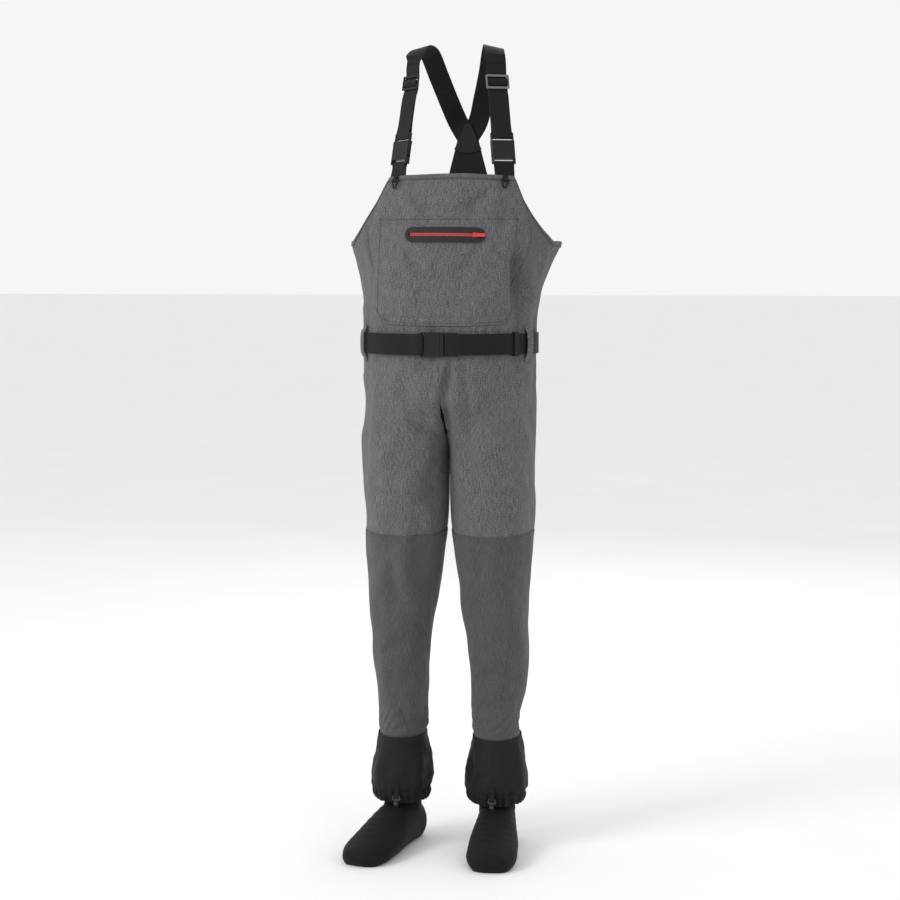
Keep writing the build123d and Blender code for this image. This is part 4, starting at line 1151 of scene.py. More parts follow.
class WADERS_OT_trousers(bpy.types.Operator):
    """Makes the thighs and the reinforced shins, with the stitching on their seams"""

    bl_idname = "waders.trousers"
    bl_label = "Trousers"

    def execute(self, context):
        for name, side in SIDES:
            for front in (True, False):
                thigh = half_leg(side, front, leg_lines(KNEE, BELT, THIGH_LINES, SEAM_DIP))
                shin_lines = leg_lines(LEG_HEM, KNEE + KNEE_LAP, SHIN_LINES, HEM_DIP, SEAM_DIP)
                shin = half_leg(side, front, shin_lines)
                middle = (side * LEG_AXIS, 0, KNEE)
                thigh, thigh_out = folded(thigh, middle)
                shin, shin_out = folded(shin, middle)
                overlap = ease(KNEE - 0.030, KNEE - 0.004, shin[..., 2])
                shin = shin + shin_out * (0.0004 + 0.0008 * overlap)[..., None]
                upper = name + ("_thigh_front_panel" if front else "_thigh_back_panel")
                lower = name + ("_shin_panel" if front else "_calf_panel")
                cloth_panel(upper + "_cloth", thigh, thigh_out, "canvas", [upper])
                cloth_panel(lower + "_cloth", shin, shin_out, "shin_canvas", [lower])
                for row, label in ((-2, "upper"), (-4, "lower")):
                    stitch_row(f"{lower}_{label}_stitches", shin[row], shin_out[row])
        return {"FINISHED"}


# ================================================================ pocket
POCKET_HALF = 0.128
POCKET_WALL = 0.0012
POCKET_SLACK = 0.0040                   # how far the loose cloth stands out
POCKET_SLACK_AT = (1.045, 0.055)        # its height and reach
POCKET_STITCH_INSET = 3                 # rows or columns of the grid in from the edge


def pocket_low(across):
    """Height of the pocket's curved lower edge at a distance from its middle."""
    share = np.abs(across) / POCKET_HALF
    corner = 0.024 * np.maximum(0, (share - 0.76) / 0.24) ** 2.2
    return POCKET_BOTTOM + 0.004 * share**2 + corner


class WADERS_OT_pocket(bpy.types.Operator):
    """Makes the chest pocket with its stitched outline"""

    bl_idname = "waders.pocket"
    bl_label = "Chest pocket"

    def execute(self, context):
        across = np.linspace(-POCKET_HALF, POCKET_HALF, 171)[None, :]
        share = np.linspace(0, 1, 131)[:, None]
        height = pocket_low(across) + share * (POCKET_TOP - pocket_low(across))
        axes = smooth_table(TRUNK_ROWS, height)
        depth = -axes[..., 1] * np.sqrt(1 - (across / axes[..., 0]) ** 2)
        points = np.stack(np.broadcast_arrays(sway(height) + across, depth, height), axis=2)
        from_side = (POCKET_HALF - np.abs(across)) / 0.10
        edge = np.minimum(np.minimum(share * 1.2, (1 - share) * 1.4), from_side)
        slack = ease(0.0, 0.35, edge) * bell(height, *POCKET_SLACK_AT) * POCKET_SLACK
        raised = 0.0009 * (1 - ease(0.02, 0.07, edge)) + 0.0011 * bell(edge, 0.085, 0.022)
        points, normal = folded(points, (0, 0, 1))
        proud = SKIN_GAP + POCKET_WALL + slack - raised * (share > 0.02)
        points = points + normal * proud[..., None]
        cloth_panel("pocket_panel_cloth", points, normal, "canvas", ["pocket_panel"], POCKET_WALL)
        inset = POCKET_STITCH_INSET
        for label, line, out in (
            ("lower", points[inset], normal[inset]),
            ("upper", points[-inset], normal[-inset]),
            ("right", points[:, inset], normal[:, inset]),
            ("left", points[:, -inset], normal[:, -inset]),
        ):
            stitch_row(f"pocket_{label}_stitches", line + out * 0.0002, out, "black_thread")
        return {"FINISHED"}


# ================================================================ gaiters and socks
GAITER_COLUMNS = 220
GAITER_LINES = 90
GAITER_WALL = 0.0012
GAITER_DIP = 0.004                      # its upper edge is this much lower in front, higher behind
PLEATS = (0.012, 0.016)                 # height above the hem, and reach, of the pleats
ELASTIC_ROLL = (0.021, 0.004, 0.0034)   # height above the hem, reach and depth of the drawn-in ring
HEM_LIP = (0.009, 0.006, 0.0016)        # the same of the swelling under it
TAB_REST = (0.014, 0.034, 0.026)        # reach across, height above the hem and reach up, kept flat
COLLAR_LIP = (0.004, 0.0007)            # reach and height of the thicker upper edge
FOOT_LENGTH = 0.268
FOOT_HALF = 0.047
HEEL_REACH = 0.060
FOOT_TURN = {"right": 14.0, "left": 4.0}
SOLE_WALL = 0.0045
SOCK_VOXEL = 0.0034
SOCK_WRINKLE = 0.0005
SOCK_LOW = 0.055                        # height where the upright part starts, inside the foot
SOCK_COLUMNS = 40


def gaiter_rows():
    """Height, half width, half depth and forward shift of the gaiter's ovals."""
    tall = GAITER_TOP - GAITER_HEM
    collar = ANKLE[0] + 0.0023
    collar_depth = ANKLE[1] + 0.0026
    return [
        (GAITER_HEM, *GAITER_MOUTH, 0.008),
        (GAITER_HEM + 0.07 * tall, 0.86 * GAITER[0], 0.87 * GAITER[1], 0.008),
        (GAITER_HEM + 0.14 * tall, 0.93 * GAITER[0], 0.94 * GAITER[1], 0.008),
        (GAITER_HEM + 0.27 * tall, *GAITER, 0.006),
        (GAITER_HEM + 0.64 * tall, 0.92 * GAITER[0], 0.94 * GAITER[1], 0.002),
        (GAITER_TOP, collar, collar_depth, 0.0),
    ]


class WADERS_OT_gaiters(bpy.types.Operator):
    """Makes the two gaiters, pleated into their elastic hems"""

    bl_idname = "waders.gaiters"
    bl_label = "Gaiters"

    def execute(self, context):
        depth = sizes().pleat_depth
        for name, side in SIDES:
            turn = np.linspace(0, 2 * pi, GAITER_COLUMNS, endpoint=False)[None, :]
            share = np.linspace(0, 1, GAITER_LINES)[:, None] ** 1.15
            height = GAITER_HEM + share * (GAITER_TOP - GAITER_HEM - GAITER_DIP * np.cos(turn))
            rows = smooth_table(gaiter_rows(), height)
            x = side * LEG_AXIS + rows[..., 0] * np.sin(turn)
            y = -rows[..., 2] - rows[..., 1] * np.cos(turn)
            points = np.stack([x, y, height], axis=2)
            normal = grid_normals(points, closed=True)
            away = points - (side * LEG_AXIS, 0, 0)
            if np.sum(normal[..., :2] * away[..., :2]) < 0:
                normal = -normal
            out = self.fold_height(points, turn, share, side, depth)
            points = points + normal * out[..., None]
            cloth_panel(name + "_gaiter_cloth", points, normal, "gaiter_cloth",
                        [name + "_gaiter"], GAITER_WALL, closed=True)
            loop = np.concatenate([points[-3], points[-3][:1]])
            out = np.concatenate([normal[-3], normal[-3][:1]])
            stitch_row(name + "_gaiter_stitches", loop, out, "black_thread")
        return {"FINISHED"}

    def fold_height(self, points, turn, share, side, depth):
        """How far the gaiter's cloth stands out from its ovals: pleats, drape, rolls and crumple."""
        x, y, height = points[..., 0], points[..., 1], points[..., 2]
        above_hem = height - GAITER_HEM
        shift = 0.7 if side < 0 else 2.1
        pleats = np.sin(23 * turn + shift + 0.9 * np.sin(4 * turn))
        pleats = pleats + 0.55 * np.sin(37 * turn + 2 * shift)
        at_hem = bell(above_hem, *PLEATS) * 0.8
        drape = np.sin(5 * turn + 3 * shift + height * 18)
        drape = drape + 0.6 * np.sin(8 * turn - shift - height * 30)
        out = depth * (0.62 * pleats * at_hem + 0.55 * drape * bell(share, 0.45, 0.30))
        roll = bell(above_hem, *ELASTIC_ROLL[:2]) * (0.6 + 0.4 * np.sin(7 * turn + shift))
        out = out - ELASTIC_ROLL[2] * roll + HEM_LIP[2] * bell(above_hem, *HEM_LIP[:2])
        out = out + 0.0010 * undulation(points, 0.045, 53 + side)
        out = out + 0.0004 * undulation(points, 0.018, 57 + side)
        at_tab = bell(x - side * LEG_AXIS, 0, TAB_REST[0]) * bell(above_hem, *TAB_REST[1:]) * (y < 0)
        out = np.where(at_tab > 0.05, out * (1 - at_tab) - 0.0002 * at_tab, out)
        out = out * ease(0.0, COLLAR_LIP[0], GAITER_TOP - height)
        return out + COLLAR_LIP[1] * bell(height, GAITER_TOP, COLLAR_LIP[0])


def foot_rings():
    """Rings of points of a foot along -Y, its ankle's axis at the origin, from heel to toe."""
    toe = FOOT_LENGTH - HEEL_REACH
    rows = [                            # place along the foot, half width, top and underside
        (-HEEL_REACH, 0.30 * FOOT_HALF, 0.034, 0.012),
        (-0.90 * HEEL_REACH, 0.52 * FOOT_HALF, 0.056, 0.002),
        (-0.6 * HEEL_REACH, 0.70 * FOOT_HALF, 0.076, 0.0),
        (0.0, 0.76 * FOOT_HALF, 0.090, 0.0),
        (0.24 * toe, 0.86 * FOOT_HALF, 0.081, 0.0),
        (0.5 * toe, 0.98 * FOOT_HALF, 0.062, 0.0),
        (0.75 * toe, FOOT_HALF, 0.046, 0.0),
        (0.91 * toe, 0.80 * FOOT_HALF, 0.036, 0.0),
        (0.975 * toe, 0.56 * FOOT_HALF, 0.030, 0.003),
        (toe, 0.30 * FOOT_HALF, 0.022, 0.010),
    ]
    steps = np.linspace(rows[0][0], rows[-1][0], 60)
    shape = smooth_table(rows, steps)
    turn = np.linspace(0, 2 * pi, SOCK_COLUMNS, endpoint=False)
    rings = []
    for place, (half, top, low) in zip(steps, shape):
        middle = (top + low - 0.010 * (low < 0.001)) / 2
        tall = top - middle
        rings.append([(half * cos(a), -place, middle + tall * sin(a)) for a in turn])
    return np.array(rings)


def ankle_rings():
    """Rings of points of the sock's upright part, from inside the foot to the leg's hem."""
    heights = np.linspace(SOCK_LOW, LEG_HEM, 24)
    rows = smooth_table([
        (SOCK_LOW, ANKLE[0] - 0.0085, ANKLE[1] - 0.012),
        (0.100, ANKLE[0] - 0.0075, ANKLE[1] - 0.010),
        (0.150, ANKLE[0] - 0.0055, ANKLE[1] - 0.007),
        (LEG_HEM, ANKLE[0] - 0.0020, ANKLE[1] - 0.0020),
    ], heights)
    turn = np.linspace(0, 2 * pi, SOCK_COLUMNS, endpoint=False)
    return np.array([[(a * cos(t), b * sin(t), z) for t in turn] for z, (a, b) in zip(heights, rows)])


def cut_flat(piece, height, keep_above, fill):
    """Cuts a mesh at a height above the soles and keeps one side of it."""
    mesh = bmesh.new()
    mesh.from_mesh(piece.data)
    result = bmesh.ops.bisect_plane(
        mesh, geom=mesh.verts[:] + mesh.edges[:] + mesh.faces[:], dist=1e-6,
        plane_co=(0, 0, height + SOLES), plane_no=(0, 0, 1),
        clear_inner=keep_above, clear_outer=not keep_above)
    if fill:
        edges = [item for item in result["geom_cut"] if isinstance(item, bmesh.types.BMEdge)]
        bmesh.ops.holes_fill(mesh, edges=edges)
    bmesh.ops.recalc_face_normals(mesh, faces=mesh.faces[:])
    mesh.to_mesh(piece.data)
    mesh.free()


def copy_of(piece, name, finish):
    """A second piece with the same mesh and another finish."""
    mesh = piece.data.copy()
    mesh.name = name
    made = bpy.data.objects.new(name, mesh)
    bpy.context.scene.collection.objects.link(made)
    mesh.materials.clear()
    mesh.materials.append(finish_named(finish))
    return made


class WADERS_OT_socks(bpy.types.Operator):
    """Makes the neoprene socks: a smooth hollow upper on a thicker sole"""

    bl_idname = "waders.socks"
    bl_label = "Socks"

    def execute(self, context):
        for name, side in SIDES:
            foot = foot_rings()
            ankle = ankle_rings()
            points = np.concatenate([foot.reshape(-1, 3), ankle.reshape(-1, 3)])
            angle = radians(side * FOOT_TURN[name])
            x = points[:, 0] * cos(angle) - points[:, 1] * sin(angle) + side * LEG_AXIS
            y = points[:, 0] * sin(angle) + points[:, 1] * cos(angle)
            points = np.stack([x, y, points[:, 2]], axis=1)
            faces = capped_tube(foot) + capped_tube(ankle, foot.shape[0] * foot.shape[1])
            whole = new_piece(name + "_sock_form", points, faces, "neoprene")
            remesh = whole.modifiers.new("remesh", "REMESH")
            remesh.mode = "VOXEL"
            remesh.voxel_size = SOCK_VOXEL
            remesh.use_smooth_shade = True
            smooth = whole.modifiers.new("smooth", "SMOOTH")
            smooth.factor = 0.5
            smooth.iterations = 14
            apply_modifiers(whole)
            for vertex in whole.data.vertices:
                place = np.array(vertex.co) - (0, 0, SOLES)
                instep = bell(place[2], 0.075, 0.030) * (place[1] < 0.01)
                wave = sin(place[2] * 430 + place[1] * 200 + 2 * sin(place[0] * 60))
                vertex.co += vertex.normal * (wave * SOCK_WRINKLE * instep)
                vertex.co.z = max(vertex.co.z, SOLES)
            sole = copy_of(whole, name + "_sock_sole_pad", "neoprene_sole")
            cut_flat(sole, SOLE_WALL, keep_above=False, fill=True)
            cut_flat(whole, SOLE_WALL, keep_above=True, fill=False)
            cut_flat(whole, LEG_HEM - 0.003, keep_above=False, fill=False)
            whole.name = name + "_sock_upper_neoprene"
            thicken(whole, NEOPRENE)
            for piece, node in ((whole, "_sock_upper"), (sole, "_sock_sole")):
                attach(piece, "garment")
                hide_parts(name + node)
        return {"FINISHED"}


# ================================================================ webbing
RIBS = 9                                # lengthwise ribs on each face of the webbing


def rounded(line, rounds=2):
    """A line of points with its corners cut away, its ends kept."""
    line = np.array(line, float)
    for _ in range(rounds):
        near = 0.75 * line[:-1] + 0.25 * line[1:]
        far = 0.25 * line[:-1] + 0.75 * line[1:]
        inner = np.stack([near, far], axis=1).reshape(-1, line.shape[1])
        line = np.concatenate([line[:1], inner, line[-1:]])
    return line


def through(line, step):
    """Points every step or so on a smooth curve through line, by the centripetal rule."""
    line = np.array(line, float)
    padded = np.concatenate([[2 * line[0] - line[1]], line, [2 * line[-1] - line[-2]]])
    out = []
    for i in range(1, len(padded) - 2):
        a, b, c, d = padded[i - 1:i + 3]
        count = max(1, int(np.linalg.norm((c - b)[:3]) / step))
        for t in np.arange(count) / count:
            out.append(0.5 * (2 * b + (c - a) * t + (2 * a - 5 * b + 4 * c - d) * t**2
                              + (3 * b - a - 3 * c + d) * t**3))
    out.append(line[-1])
    return np.array(out)


def band_profile(width, wall, rib):
    """Outline of flat webbing as (across, out), with fine ribs and rounded selvedges."""
    half = width / 2
    across = np.linspace(-half + wall * 0.45, half - wall * 0.45, 6 * RIBS + 1)
    ridge = wall / 2 - rib * (0.5 - 0.5 * np.cos(across / half * RIBS * 2 * pi))
    top = list(zip(across, ridge))
    bottom = [(a, -o) for a, o in reversed(top)]
    round_edge = wall * 0.22
    right = [(half, round_edge), (half, -round_edge)]
    left = [(-half, -round_edge), (-half, round_edge)]
    return top + right + bottom + left


def band_mesh(places, acrosses, width, wall, rib, first=0):
    """Points, faces and cloth places of webbing along places, whose width lies along acrosses."""
    places = np.array(places, float)
    acrosses = np.array(acrosses, float)
    tangent = np.gradient(places, axis=0)
    tangent = unit_rows(tangent)
    acrosses = unit_rows(acrosses - tangent * np.sum(acrosses * tangent, axis=1, keepdims=True))
    out = np.cross(tangent, acrosses)
    profile = np.array(band_profile(width, wall, rib))
    sideways = acrosses[:, None] * profile[None, :, :1]
    points = places[:, None] + sideways + out[:, None] * profile[None, :, 1:]
    uv = np.stack(np.broadcast_arrays(run_along(places)[:, None], profile[None, :, 0]), axis=2)
    return points.reshape(-1, 3), capped_tube(points, first), uv.reshape(-1, 2)


def webbing_piece(name, bands, finish="webbing", width=WEBBING, wall=STRAP_WALL, rib=None):
    """One mesh of one or more bands, each given as (places, acrosses)."""
    points, faces, uvs = [], [], []
    for places, acrosses in bands:
        made = band_mesh(places, acrosses, width, wall, sizes().rib_height if rib is None else rib,
                         sum(map(len, points)))
        points.append(made[0])
        faces += made[1]
        uvs.append(made[2])
    return new_piece(name, np.concatenate(points), faces, finish, np.concatenate(uvs))


def strap_frame(name, side, rise):
    """Origin, across, into-the-chest and up-the-strap ways at rise above the bib's edge."""
    root, _ = trunk_point(side * STRAP_SPACING, BIB_CORNERS - 0.002, out=-(CLOTH + STRAP_WALL + STUB_CLEAR))
    up = unit((-side * STRAP_LEAN[0], STRAP_LEAN[1], 1.0))
    turn = radians(STRAP_TURN[name])
    across = np.array([cos(turn), sin(turn), 0.0])
    across = unit(across - up * (across @ up))
    return root + up * rise, across, np.cross(up, across), up


def placed(frame_axes, points):
    """Points given as (into the chest, up the strap) in a strap's frame."""
    origin, _, inward, up = frame_axes
    return [origin + inward * depth + up * rise for depth, rise in points]


def front_strap_points(bar, middle, top):
    """The strap's line in front, from its sewn end round the adjuster's middle bar, down behind,
    round the plug's bar, and up through the adjuster towards the shoulder."""
    fold = BAR_HALF + LAYER_GAP + STRAP_WALL / 2
    under = bar - BUCKLE_BAR / 2 - LAYER_GAP - STRAP_WALL / 2
    behind = ADJUSTER_HALF_WALL + LAYER_GAP + STRAP_WALL / 2
    lower = middle - ADJUSTER_HALF
    wrap = 0.001 + LAYER_GAP + STRAP_WALL / 2
    second = behind + STRAP_WALL + LAYER_GAP
    over = -wrap - STRAP_WALL - LAYER_GAP
    upper = middle + ADJUSTER_HALF
    return [
        (wrap - 0.0003, middle - 0.0024), (0.0006 - wrap, middle - 0.0024), (-wrap, middle - 0.0017),
        (-wrap, middle + 0.0017), (0.0006 - wrap, middle + 0.0024), (wrap, middle + 0.0024),
        (second, middle + 0.0008), (second, lower - 0.004), (0.0016, lower - 0.014), (0.0016, bar + 0.024),
        (fold, bar + 0.0105), (fold, under + 0.0006), (fold - 0.0006, under), (0.0006 - fold, under),
        (-fold, under + 0.0006), (-fold, bar + 0.0105), (-0.0004, bar + 0.024), (-0.0004, lower - 0.014),
        (behind, lower - 0.002), (behind, lower + ADJUSTER_BAR + 0.0016), (over, middle - 0.0034),
        (over, middle + 0.0034), (behind, upper - ADJUSTER_BAR - 0.0016), (behind, upper + 0.002),
        (0.0002, top - 0.005), (0.0, top),
    ]


def rear_strap_route(name, side):
    """Places and faces of the strap over the shoulder, through the patch and down to the back."""
    base = strap_frame(name, side, FRONT_RISE)
    layer = side * (STRAP_WALL / 2 + 0.0002)
    crest = SHOULDER + STRAP_WALL / 2
    depth, cross = CROSS
    route = [
        (0.074, -0.034, crest - 0.018, (0.35 * side, -0.80, 0.50)),
        (0.069, -0.012, crest - 0.003, (0.30 * side, -0.35, 0.90)),
        (0.064, 0.014, crest, (0.22 * side, 0.0, 1.0)),
        (0.057, 0.042, crest - 0.010, (0.20 * side, 0.50, 0.86)),
        (0.047, 0.072 + layer, crest - 0.044, (0.10 * side, 0.88, 0.47)),
        (0.033, 0.103 + layer, crest - 0.088, (0.02 * side, 0.96, 0.28)),
        (0.019, depth + layer, cross + 0.032, (0, 1, 0)),
        (0.001, depth + layer, cross, (0, 1, 0)),
        (-0.009, depth + layer, cross - 0.034, (0, 1, 0)),
    ]
    places = [base[0], base[0] + base[3] * 0.008]
    faces = [-base[2], -base[2]]
    for beside, behind, height, face in route:
        places.append(np.array([SWAY + side * beside, behind, height]))
        faces.append(unit(face))
    clear = SKIN_GAP + BINDING_WALL + 0.0009 + STRAP_WALL / 2
    low = BACK_MIDDLE - 0.012
    for height, beside in ((low + (cross - low) * 0.35, -0.036), (low, -0.050), (low - 0.034, -0.058)):
        point, outward = trunk_point(side * beside, min(height, SIDE_CORNERS), back=True, out=clear)
        above = max(0.0, height - BACK_MIDDLE)
        high = height >= SIDE_CORNERS
        places.append(np.array([SWAY + side * beside if high else point[0],
                                point[1] + above * 0.1 + (layer if above > 0 else 0), height]))
        faces.append(np.array([0.0, 1.0, 0.0]) if high else outward)
    acrosses = []
    for i, face in enumerate(faces):
        ahead = places[min(i + 1, len(places) - 1)]
        tangent = unit(ahead - places[max(i - 1, 0)])
        acrosses.append(base[1] if i < 2 else unit(np.cross(-face, tangent)))
    return places, acrosses


class WADERS_OT_straps(bpy.types.Operator):
    """Makes the two braces and the stubs that hold their buckles"""

    bl_idname = "waders.straps"
    bl_label = "Braces"

    def execute(self, context):
        for name, side in SIDES:
            base = strap_frame(name, side, 0.0)
            bar = BUCKLE_RISE + PLUG_BAR
            front = rounded(placed(base, front_strap_points(bar, ADJUSTER_RISE, FRONT_RISE)))
            acrosses = np.tile(base[1], (len(front), 1))
            piece = webbing_piece(name + "_strap_front", [(front, acrosses)])
            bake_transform(piece)
            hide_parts(name + "_shoulder_strap")
            places, acrosses = rear_strap_route(name, side)
            both = through(np.concatenate([places, acrosses], axis=1), 0.005)
            rear = webbing_piece(name + "_strap_rear", [(both[:, :3], both[:, 3:])])
            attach(rear, "garment")
            self.make_stub(name, side)
        return {"FINISHED"}

    def make_stub(self, name, side):
        """The doubled webbing sewn inside the bib and folded round the socket's bar."""
        origin, across, inward, up = strap_frame(name, side, BUCKLE_RISE)
        bar = BUCKLE_BAR / 2
        fold = BAR_HALF + LAYER_GAP + STRAP_WALL / 2
        high = bar + BUCKLE_BAR / 2 + LAYER_GAP + STRAP_WALL / 2
        apart = STRAP_WALL / 2 + 0.00005
        loop = [(apart, -0.007), (fold, bar - 0.001), (fold, high - 0.0004), (fold - 0.0006, high),
                (0.0006 - fold, high), (-fold, high - 0.0004), (-fold, bar - 0.001), (-apart, -0.007)]
        places = placed((origin, across, inward, up), loop)
        acrosses = [across] * len(loop)
        inset = -(CLOTH + STRAP_WALL + STUB_CLEAR)
        for down in (0.004, 0.026):
            point, outward = trunk_point(side * STRAP_SPACING, BIB_CORNERS - down, out=inset)
            along = unit(np.cross((0, 0, 1), outward))
            along = along if along[0] > 0 else -along
            places = [point - outward * apart, *places, point + outward * apart]
            acrosses = [along, *acrosses, along]
        both = rounded(np.concatenate([places, acrosses], axis=1))
        stub = webbing_piece(name + "_strap_stub", [(both[:, :3], both[:, 3:])])
        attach(stub, "garment")
        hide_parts(name + "_strap_anchor")


BELT_SPLIT = -285                       # degrees, where the belt's two pieces meet on the left side
BUCKLE_OUT = WAIST[1] + BUCKLE_WALL / 2 + 0.0008
LOOP_REACH = 0.033                      # how far a belt loop runs above and below the belt's middle
LOOP_WIDTH = 0.018
LOOP_WALL = 0.0012
LOOP_RIB = 0.00010


def belt_points():
    """The belt's line in plan, in two lists that share their meeting point."""
    inner = BELT_CLEAR + BELT_WALL / 2
    outer = inner + BELT_WALL + LAYER_GAP
    start = -(SOCKET + BELT_PLUG) / 2
    socket_bar = start + BUCKLE_BAR / 2
    plug_bar = start + PLUG_BAR
    fold = BAR_HALF + LAYER_GAP + BELT_WALL / 2
    past = BUCKLE_BAR / 2 + LAYER_GAP + BELT_WALL / 2
    nose = 0.0007
    front_face = -BUCKLE_OUT - fold
    back_face = -BUCKLE_OUT + fold

    def on_waist(angle, out):
        turn = radians(angle)
        return (WAIST[0] + out) * sin(turn), -(WAIST[1] + out) * cos(turn)

    first = [on_waist(angle, outer) for angle in range(-42, -20, 3)]
    first += [
        (socket_bar - 0.009, front_face + 0.0006), (socket_bar - 0.001, front_face),
        (socket_bar + past - nose, front_face), (socket_bar + past, front_face + nose),
        (socket_bar + past, back_face - nose), (socket_bar + past - nose, back_face),
        (socket_bar - 0.001, back_face),
    ]
    first += [on_waist(angle, inner) for angle in range(-20, BELT_SPLIT - 1, -5)]
    second = [on_waist(angle, inner) for angle in range(BELT_SPLIT, -341, -5)]
    second += [
        (plug_bar + 0.001, back_face), (plug_bar - past + nose, back_face),
        (plug_bar - past, back_face - nose), (plug_bar - past, front_face + nose),
        (plug_bar - past + nose, front_face), (plug_bar + 0.001, front_face),
        (-start + 0.002, front_face),
    ]
    second += [on_waist(angle, outer) for angle in range(24, 61, 3)]
    return first, second


class WADERS_OT_belt(bpy.types.Operator):
    """Makes the waist belt and the loops that hold it"""

    bl_idname = "waders.belt"
    bl_label = "Belt"

    def execute(self, context):
        for name, plan in zip(("belt_right", "belt_left"), belt_points()):
            line = rounded([(x, y, BELT) for x, y in plan])
            upright = np.tile((0.0, 0.0, 1.0), (len(line), 1))
            piece = webbing_piece(name, [(line, upright)], wall=BELT_WALL)
            if name == "belt_right":
                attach(piece, "garment")
            else:
                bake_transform(piece)
                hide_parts("belt_webbing")
        for node, angles in LOOP_ANGLES.items():
            self.make_loops(node, angles)
        return {"FINISHED"}

    def make_loops(self, node, angles):
        """Cloth strips sewn above and below the belt and bowed out over it."""
        seam = BELT_CLEAR - 0.0002
        bow = BELT_CLEAR + BELT_WALL + 0.0034
        edge = WEBBING / 2
        outline = [
            (seam, -LOOP_REACH), (seam, -edge - 0.008), (bow, -edge - 0.001), (bow + 0.001, 0.0),
            (bow, edge + 0.001), (seam, edge + 0.008), (seam, LOOP_REACH),
        ]
        bands = []
        for angle in angles:
            turn = radians(angle)
            place = np.array([WAIST[0] * sin(turn), -WAIST[1] * cos(turn), BELT])
            outward = unit((sin(turn) / WAIST[0], -cos(turn) / WAIST[1], 0))
            line = rounded([place + outward * out + (0, 0, rise) for out, rise in outline])
            along = unit(np.cross((0, 0, 1), outward))
            bands.append((line, np.tile(along, (len(line), 1))))
        piece = webbing_piece(node + "_cloth", bands, "canvas", LOOP_WIDTH, LOOP_WALL, LOOP_RIB)
        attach(piece, "garment")
        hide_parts(node)


# ================================================================ finishes of the carried nodes
NODE_FINISHES = {
    "zip_window": "zip_laminate", "zip_tape": "zip_tape", "zip_coil": "zip_coil", "zip_slider": "zip_red",
    "zip_pull": "zip_red", "cross_patch_inner": "patch", "cross_patch_outer": "patch",
    # The left strap adjuster's grey finish is a painted highlight; the right one, alike in shape, keeps the
    # black plastic.
    "left_strap_adjuster": "grey_hardware",
}
ENDING_FINISHES = {"lace_hook": "dark_metal", "gaiter_elastic": "elastic", "_tab": "elastic"}


class WADERS_OT_hardware(bpy.types.Operator):
    """Gives the buckles, rings, hooks, zip and patch their finishes"""

    bl_idname = "waders.hardware"
    bl_label = "Hardware finishes"

    def execute(self, context):
        for node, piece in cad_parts.items():
            if piece.hide_render:
                continue
            finish = NODE_FINISHES.get(node, "black_plastic")
            for ending, name in ENDING_FINISHES.items():
                if node.endswith(ending):
                    finish = name
            for slot in piece.material_slots:
                slot.material = finish_named(finish)
        return {"FINISHED"}


# ================================================================ floor, light and camera
CAMERA_AWAY = 4.0
CAMERA_TURN = 9.0                       # degrees round towards the wearer's left
CAMERA_HEIGHT = 1.10
AIM_HEIGHT = 0.744
VIEW_WIDTH = 1.670                      # of the picture at the garment
FLOOR_REACH = 60.0
FLOOR_TONES = ((0.86, 0.86, 0.86), (0.90, 0.90, 0.90))
WORLD_STRENGTH = 0.92
SENSOR = 36.0                           # millimetres
LIGHT_AIM = (0, 0, -0.5)
LIGHTS = (                              # name, place, width and power in watts
    ("key", (-2.8, -2.4, 1.3), 1.6, 72),
    ("fill", (2.6, -2.6, 0.4), 2.4, 6),
    ("back", (0.4, 3.2, 1.2), 2.4, 24),
)


def soft_light(name, place, size, power):
    data = bpy.data.lights.new(name, "AREA")
    data.size = size
    data.energy = power
    lamp = bpy.data.objects.new(name, data)
    lamp.location = place
    lamp.rotation_euler = (Vector(LIGHT_AIM) - Vector(place)).to_track_quat("-Z", "Y").to_euler()
    bpy.context.scene.collection.objects.link(lamp)


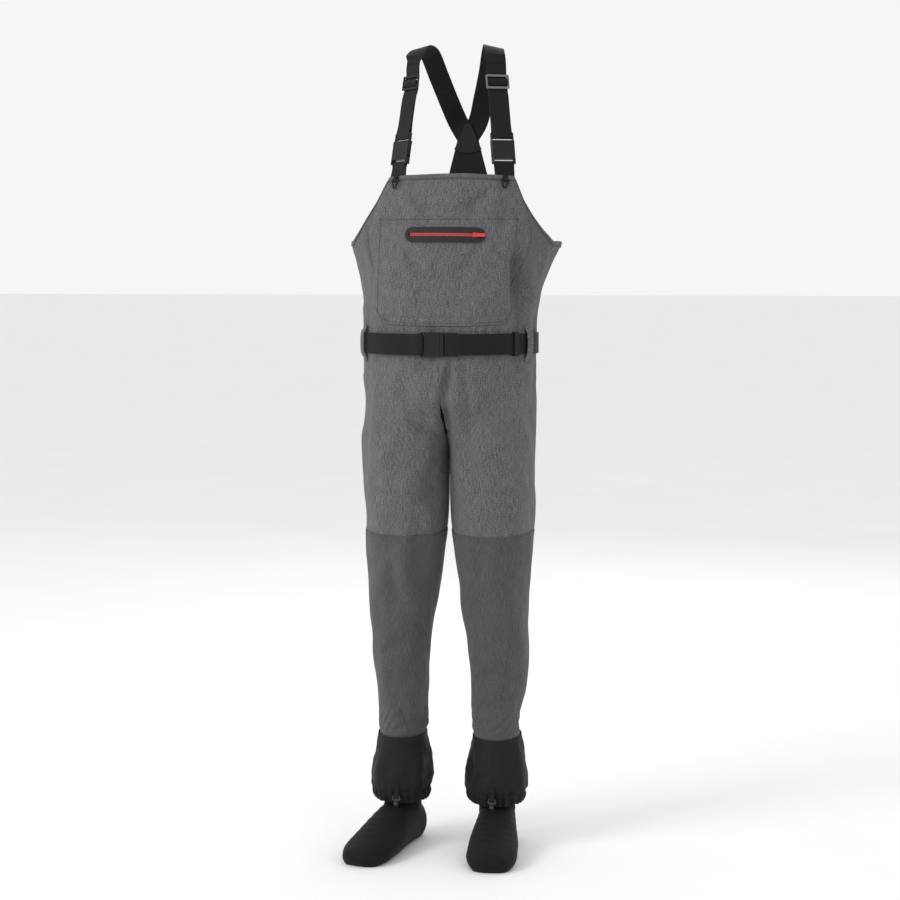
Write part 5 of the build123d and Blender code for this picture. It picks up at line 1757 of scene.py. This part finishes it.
class WADERS_OT_stage(bpy.types.Operator):
    """Makes the pale floor, the soft lights and the camera"""

    bl_idname = "waders.stage"
    bl_label = "Stage"

    def execute(self, context):
        scene = bpy.context.scene
        mesh = bpy.data.meshes.new("floor")
        corners = [(x, y, SOLES) for x, y in ((-1, -1), (1, -1), (1, 1), (-1, 1))]
        corners = [(x * FLOOR_REACH, y * FLOOR_REACH, z) for x, y, z in corners]
        mesh.from_pydata(corners, [], [(0, 1, 2, 3)])
        floor = bpy.data.objects.new("floor", mesh)
        scene.collection.objects.link(floor)
        material, tree, shader = start_material("pale_floor")
        speck = stretched_noise(tree, solid_coordinates(tree), (3.0, 3.0, 3.0))
        tree.links.new(mix_colour(tree, speck, *FLOOR_TONES), shader.inputs["Base Color"])
        shader.inputs["Roughness"].default_value = 0.9
        mesh.materials.append(material)

        world = bpy.data.worlds.new("pale_studio")
        world.use_nodes = True
        background = world.node_tree.nodes["Background"]
        background.inputs["Color"].default_value = (1.0, 1.0, 1.0, 1.0)
        background.inputs["Strength"].default_value = WORLD_STRENGTH
        scene.world = world
        scene.view_settings.view_transform = "Standard"
        for light in LIGHTS:
            soft_light(*light)

        data = bpy.data.cameras.new("camera")
        data.sensor_width = SENSOR
        data.lens = data.sensor_width * CAMERA_AWAY / VIEW_WIDTH
        camera = bpy.data.objects.new("camera", data)
        turn = radians(CAMERA_TURN)
        camera.location = (CAMERA_AWAY * sin(turn), -CAMERA_AWAY * cos(turn), CAMERA_HEIGHT + SOLES)
        aim = Vector((0, 0, AIM_HEIGHT + SOLES))
        camera.rotation_euler = (aim - camera.location).to_track_quat("-Z", "Y").to_euler()
        scene.collection.objects.link(camera)
        scene.camera = camera
        return {"FINISHED"}


# ================================================================ the panel, and running it all
class WADERS_PT_sidebar(bpy.types.Panel):
    """Lists the waders' settings and pieces in the sidebar"""

    bl_idname = "WADERS_PT_sidebar"
    bl_label = "Chest waders"
    bl_space_type = "VIEW_3D"
    bl_region_type = "UI"
    bl_category = "Waders"

    def draw(self, context):
        for settings in (context.scene.wader_sizes, context.scene.wader_colours):
            box = self.layout.box()
            for name in settings.bl_rna.properties.keys():
                if name not in ("name", "rna_type"):
                    box.prop(settings, name)
        for operator in MAKERS:
            self.layout.operator(operator.bl_idname)


SETTINGS = (WaderSizes, WaderColours)
MAKERS = (
    WADERS_OT_stage, WADERS_OT_bib, WADERS_OT_pocket, WADERS_OT_trousers, WADERS_OT_gaiters,
    WADERS_OT_socks, WADERS_OT_straps, WADERS_OT_belt, WADERS_OT_hardware,
)


def register():
    for kind in (*SETTINGS, *MAKERS, WADERS_PT_sidebar):
        bpy.utils.register_class(kind)
    bpy.types.Scene.wader_sizes = bpy.props.PointerProperty(type=WaderSizes)
    bpy.types.Scene.wader_colours = bpy.props.PointerProperty(type=WaderColours)


def unregister():
    del bpy.types.Scene.wader_colours
    del bpy.types.Scene.wader_sizes
    for kind in (WADERS_PT_sidebar, *reversed(MAKERS), *reversed(SETTINGS)):
        bpy.utils.unregister_class(kind)


def main():
    register()
    for maker in MAKERS:
        group, name = maker.bl_idname.split(".")
        getattr(getattr(bpy.ops, group), name)()


if __name__ == "__main__":
    main()
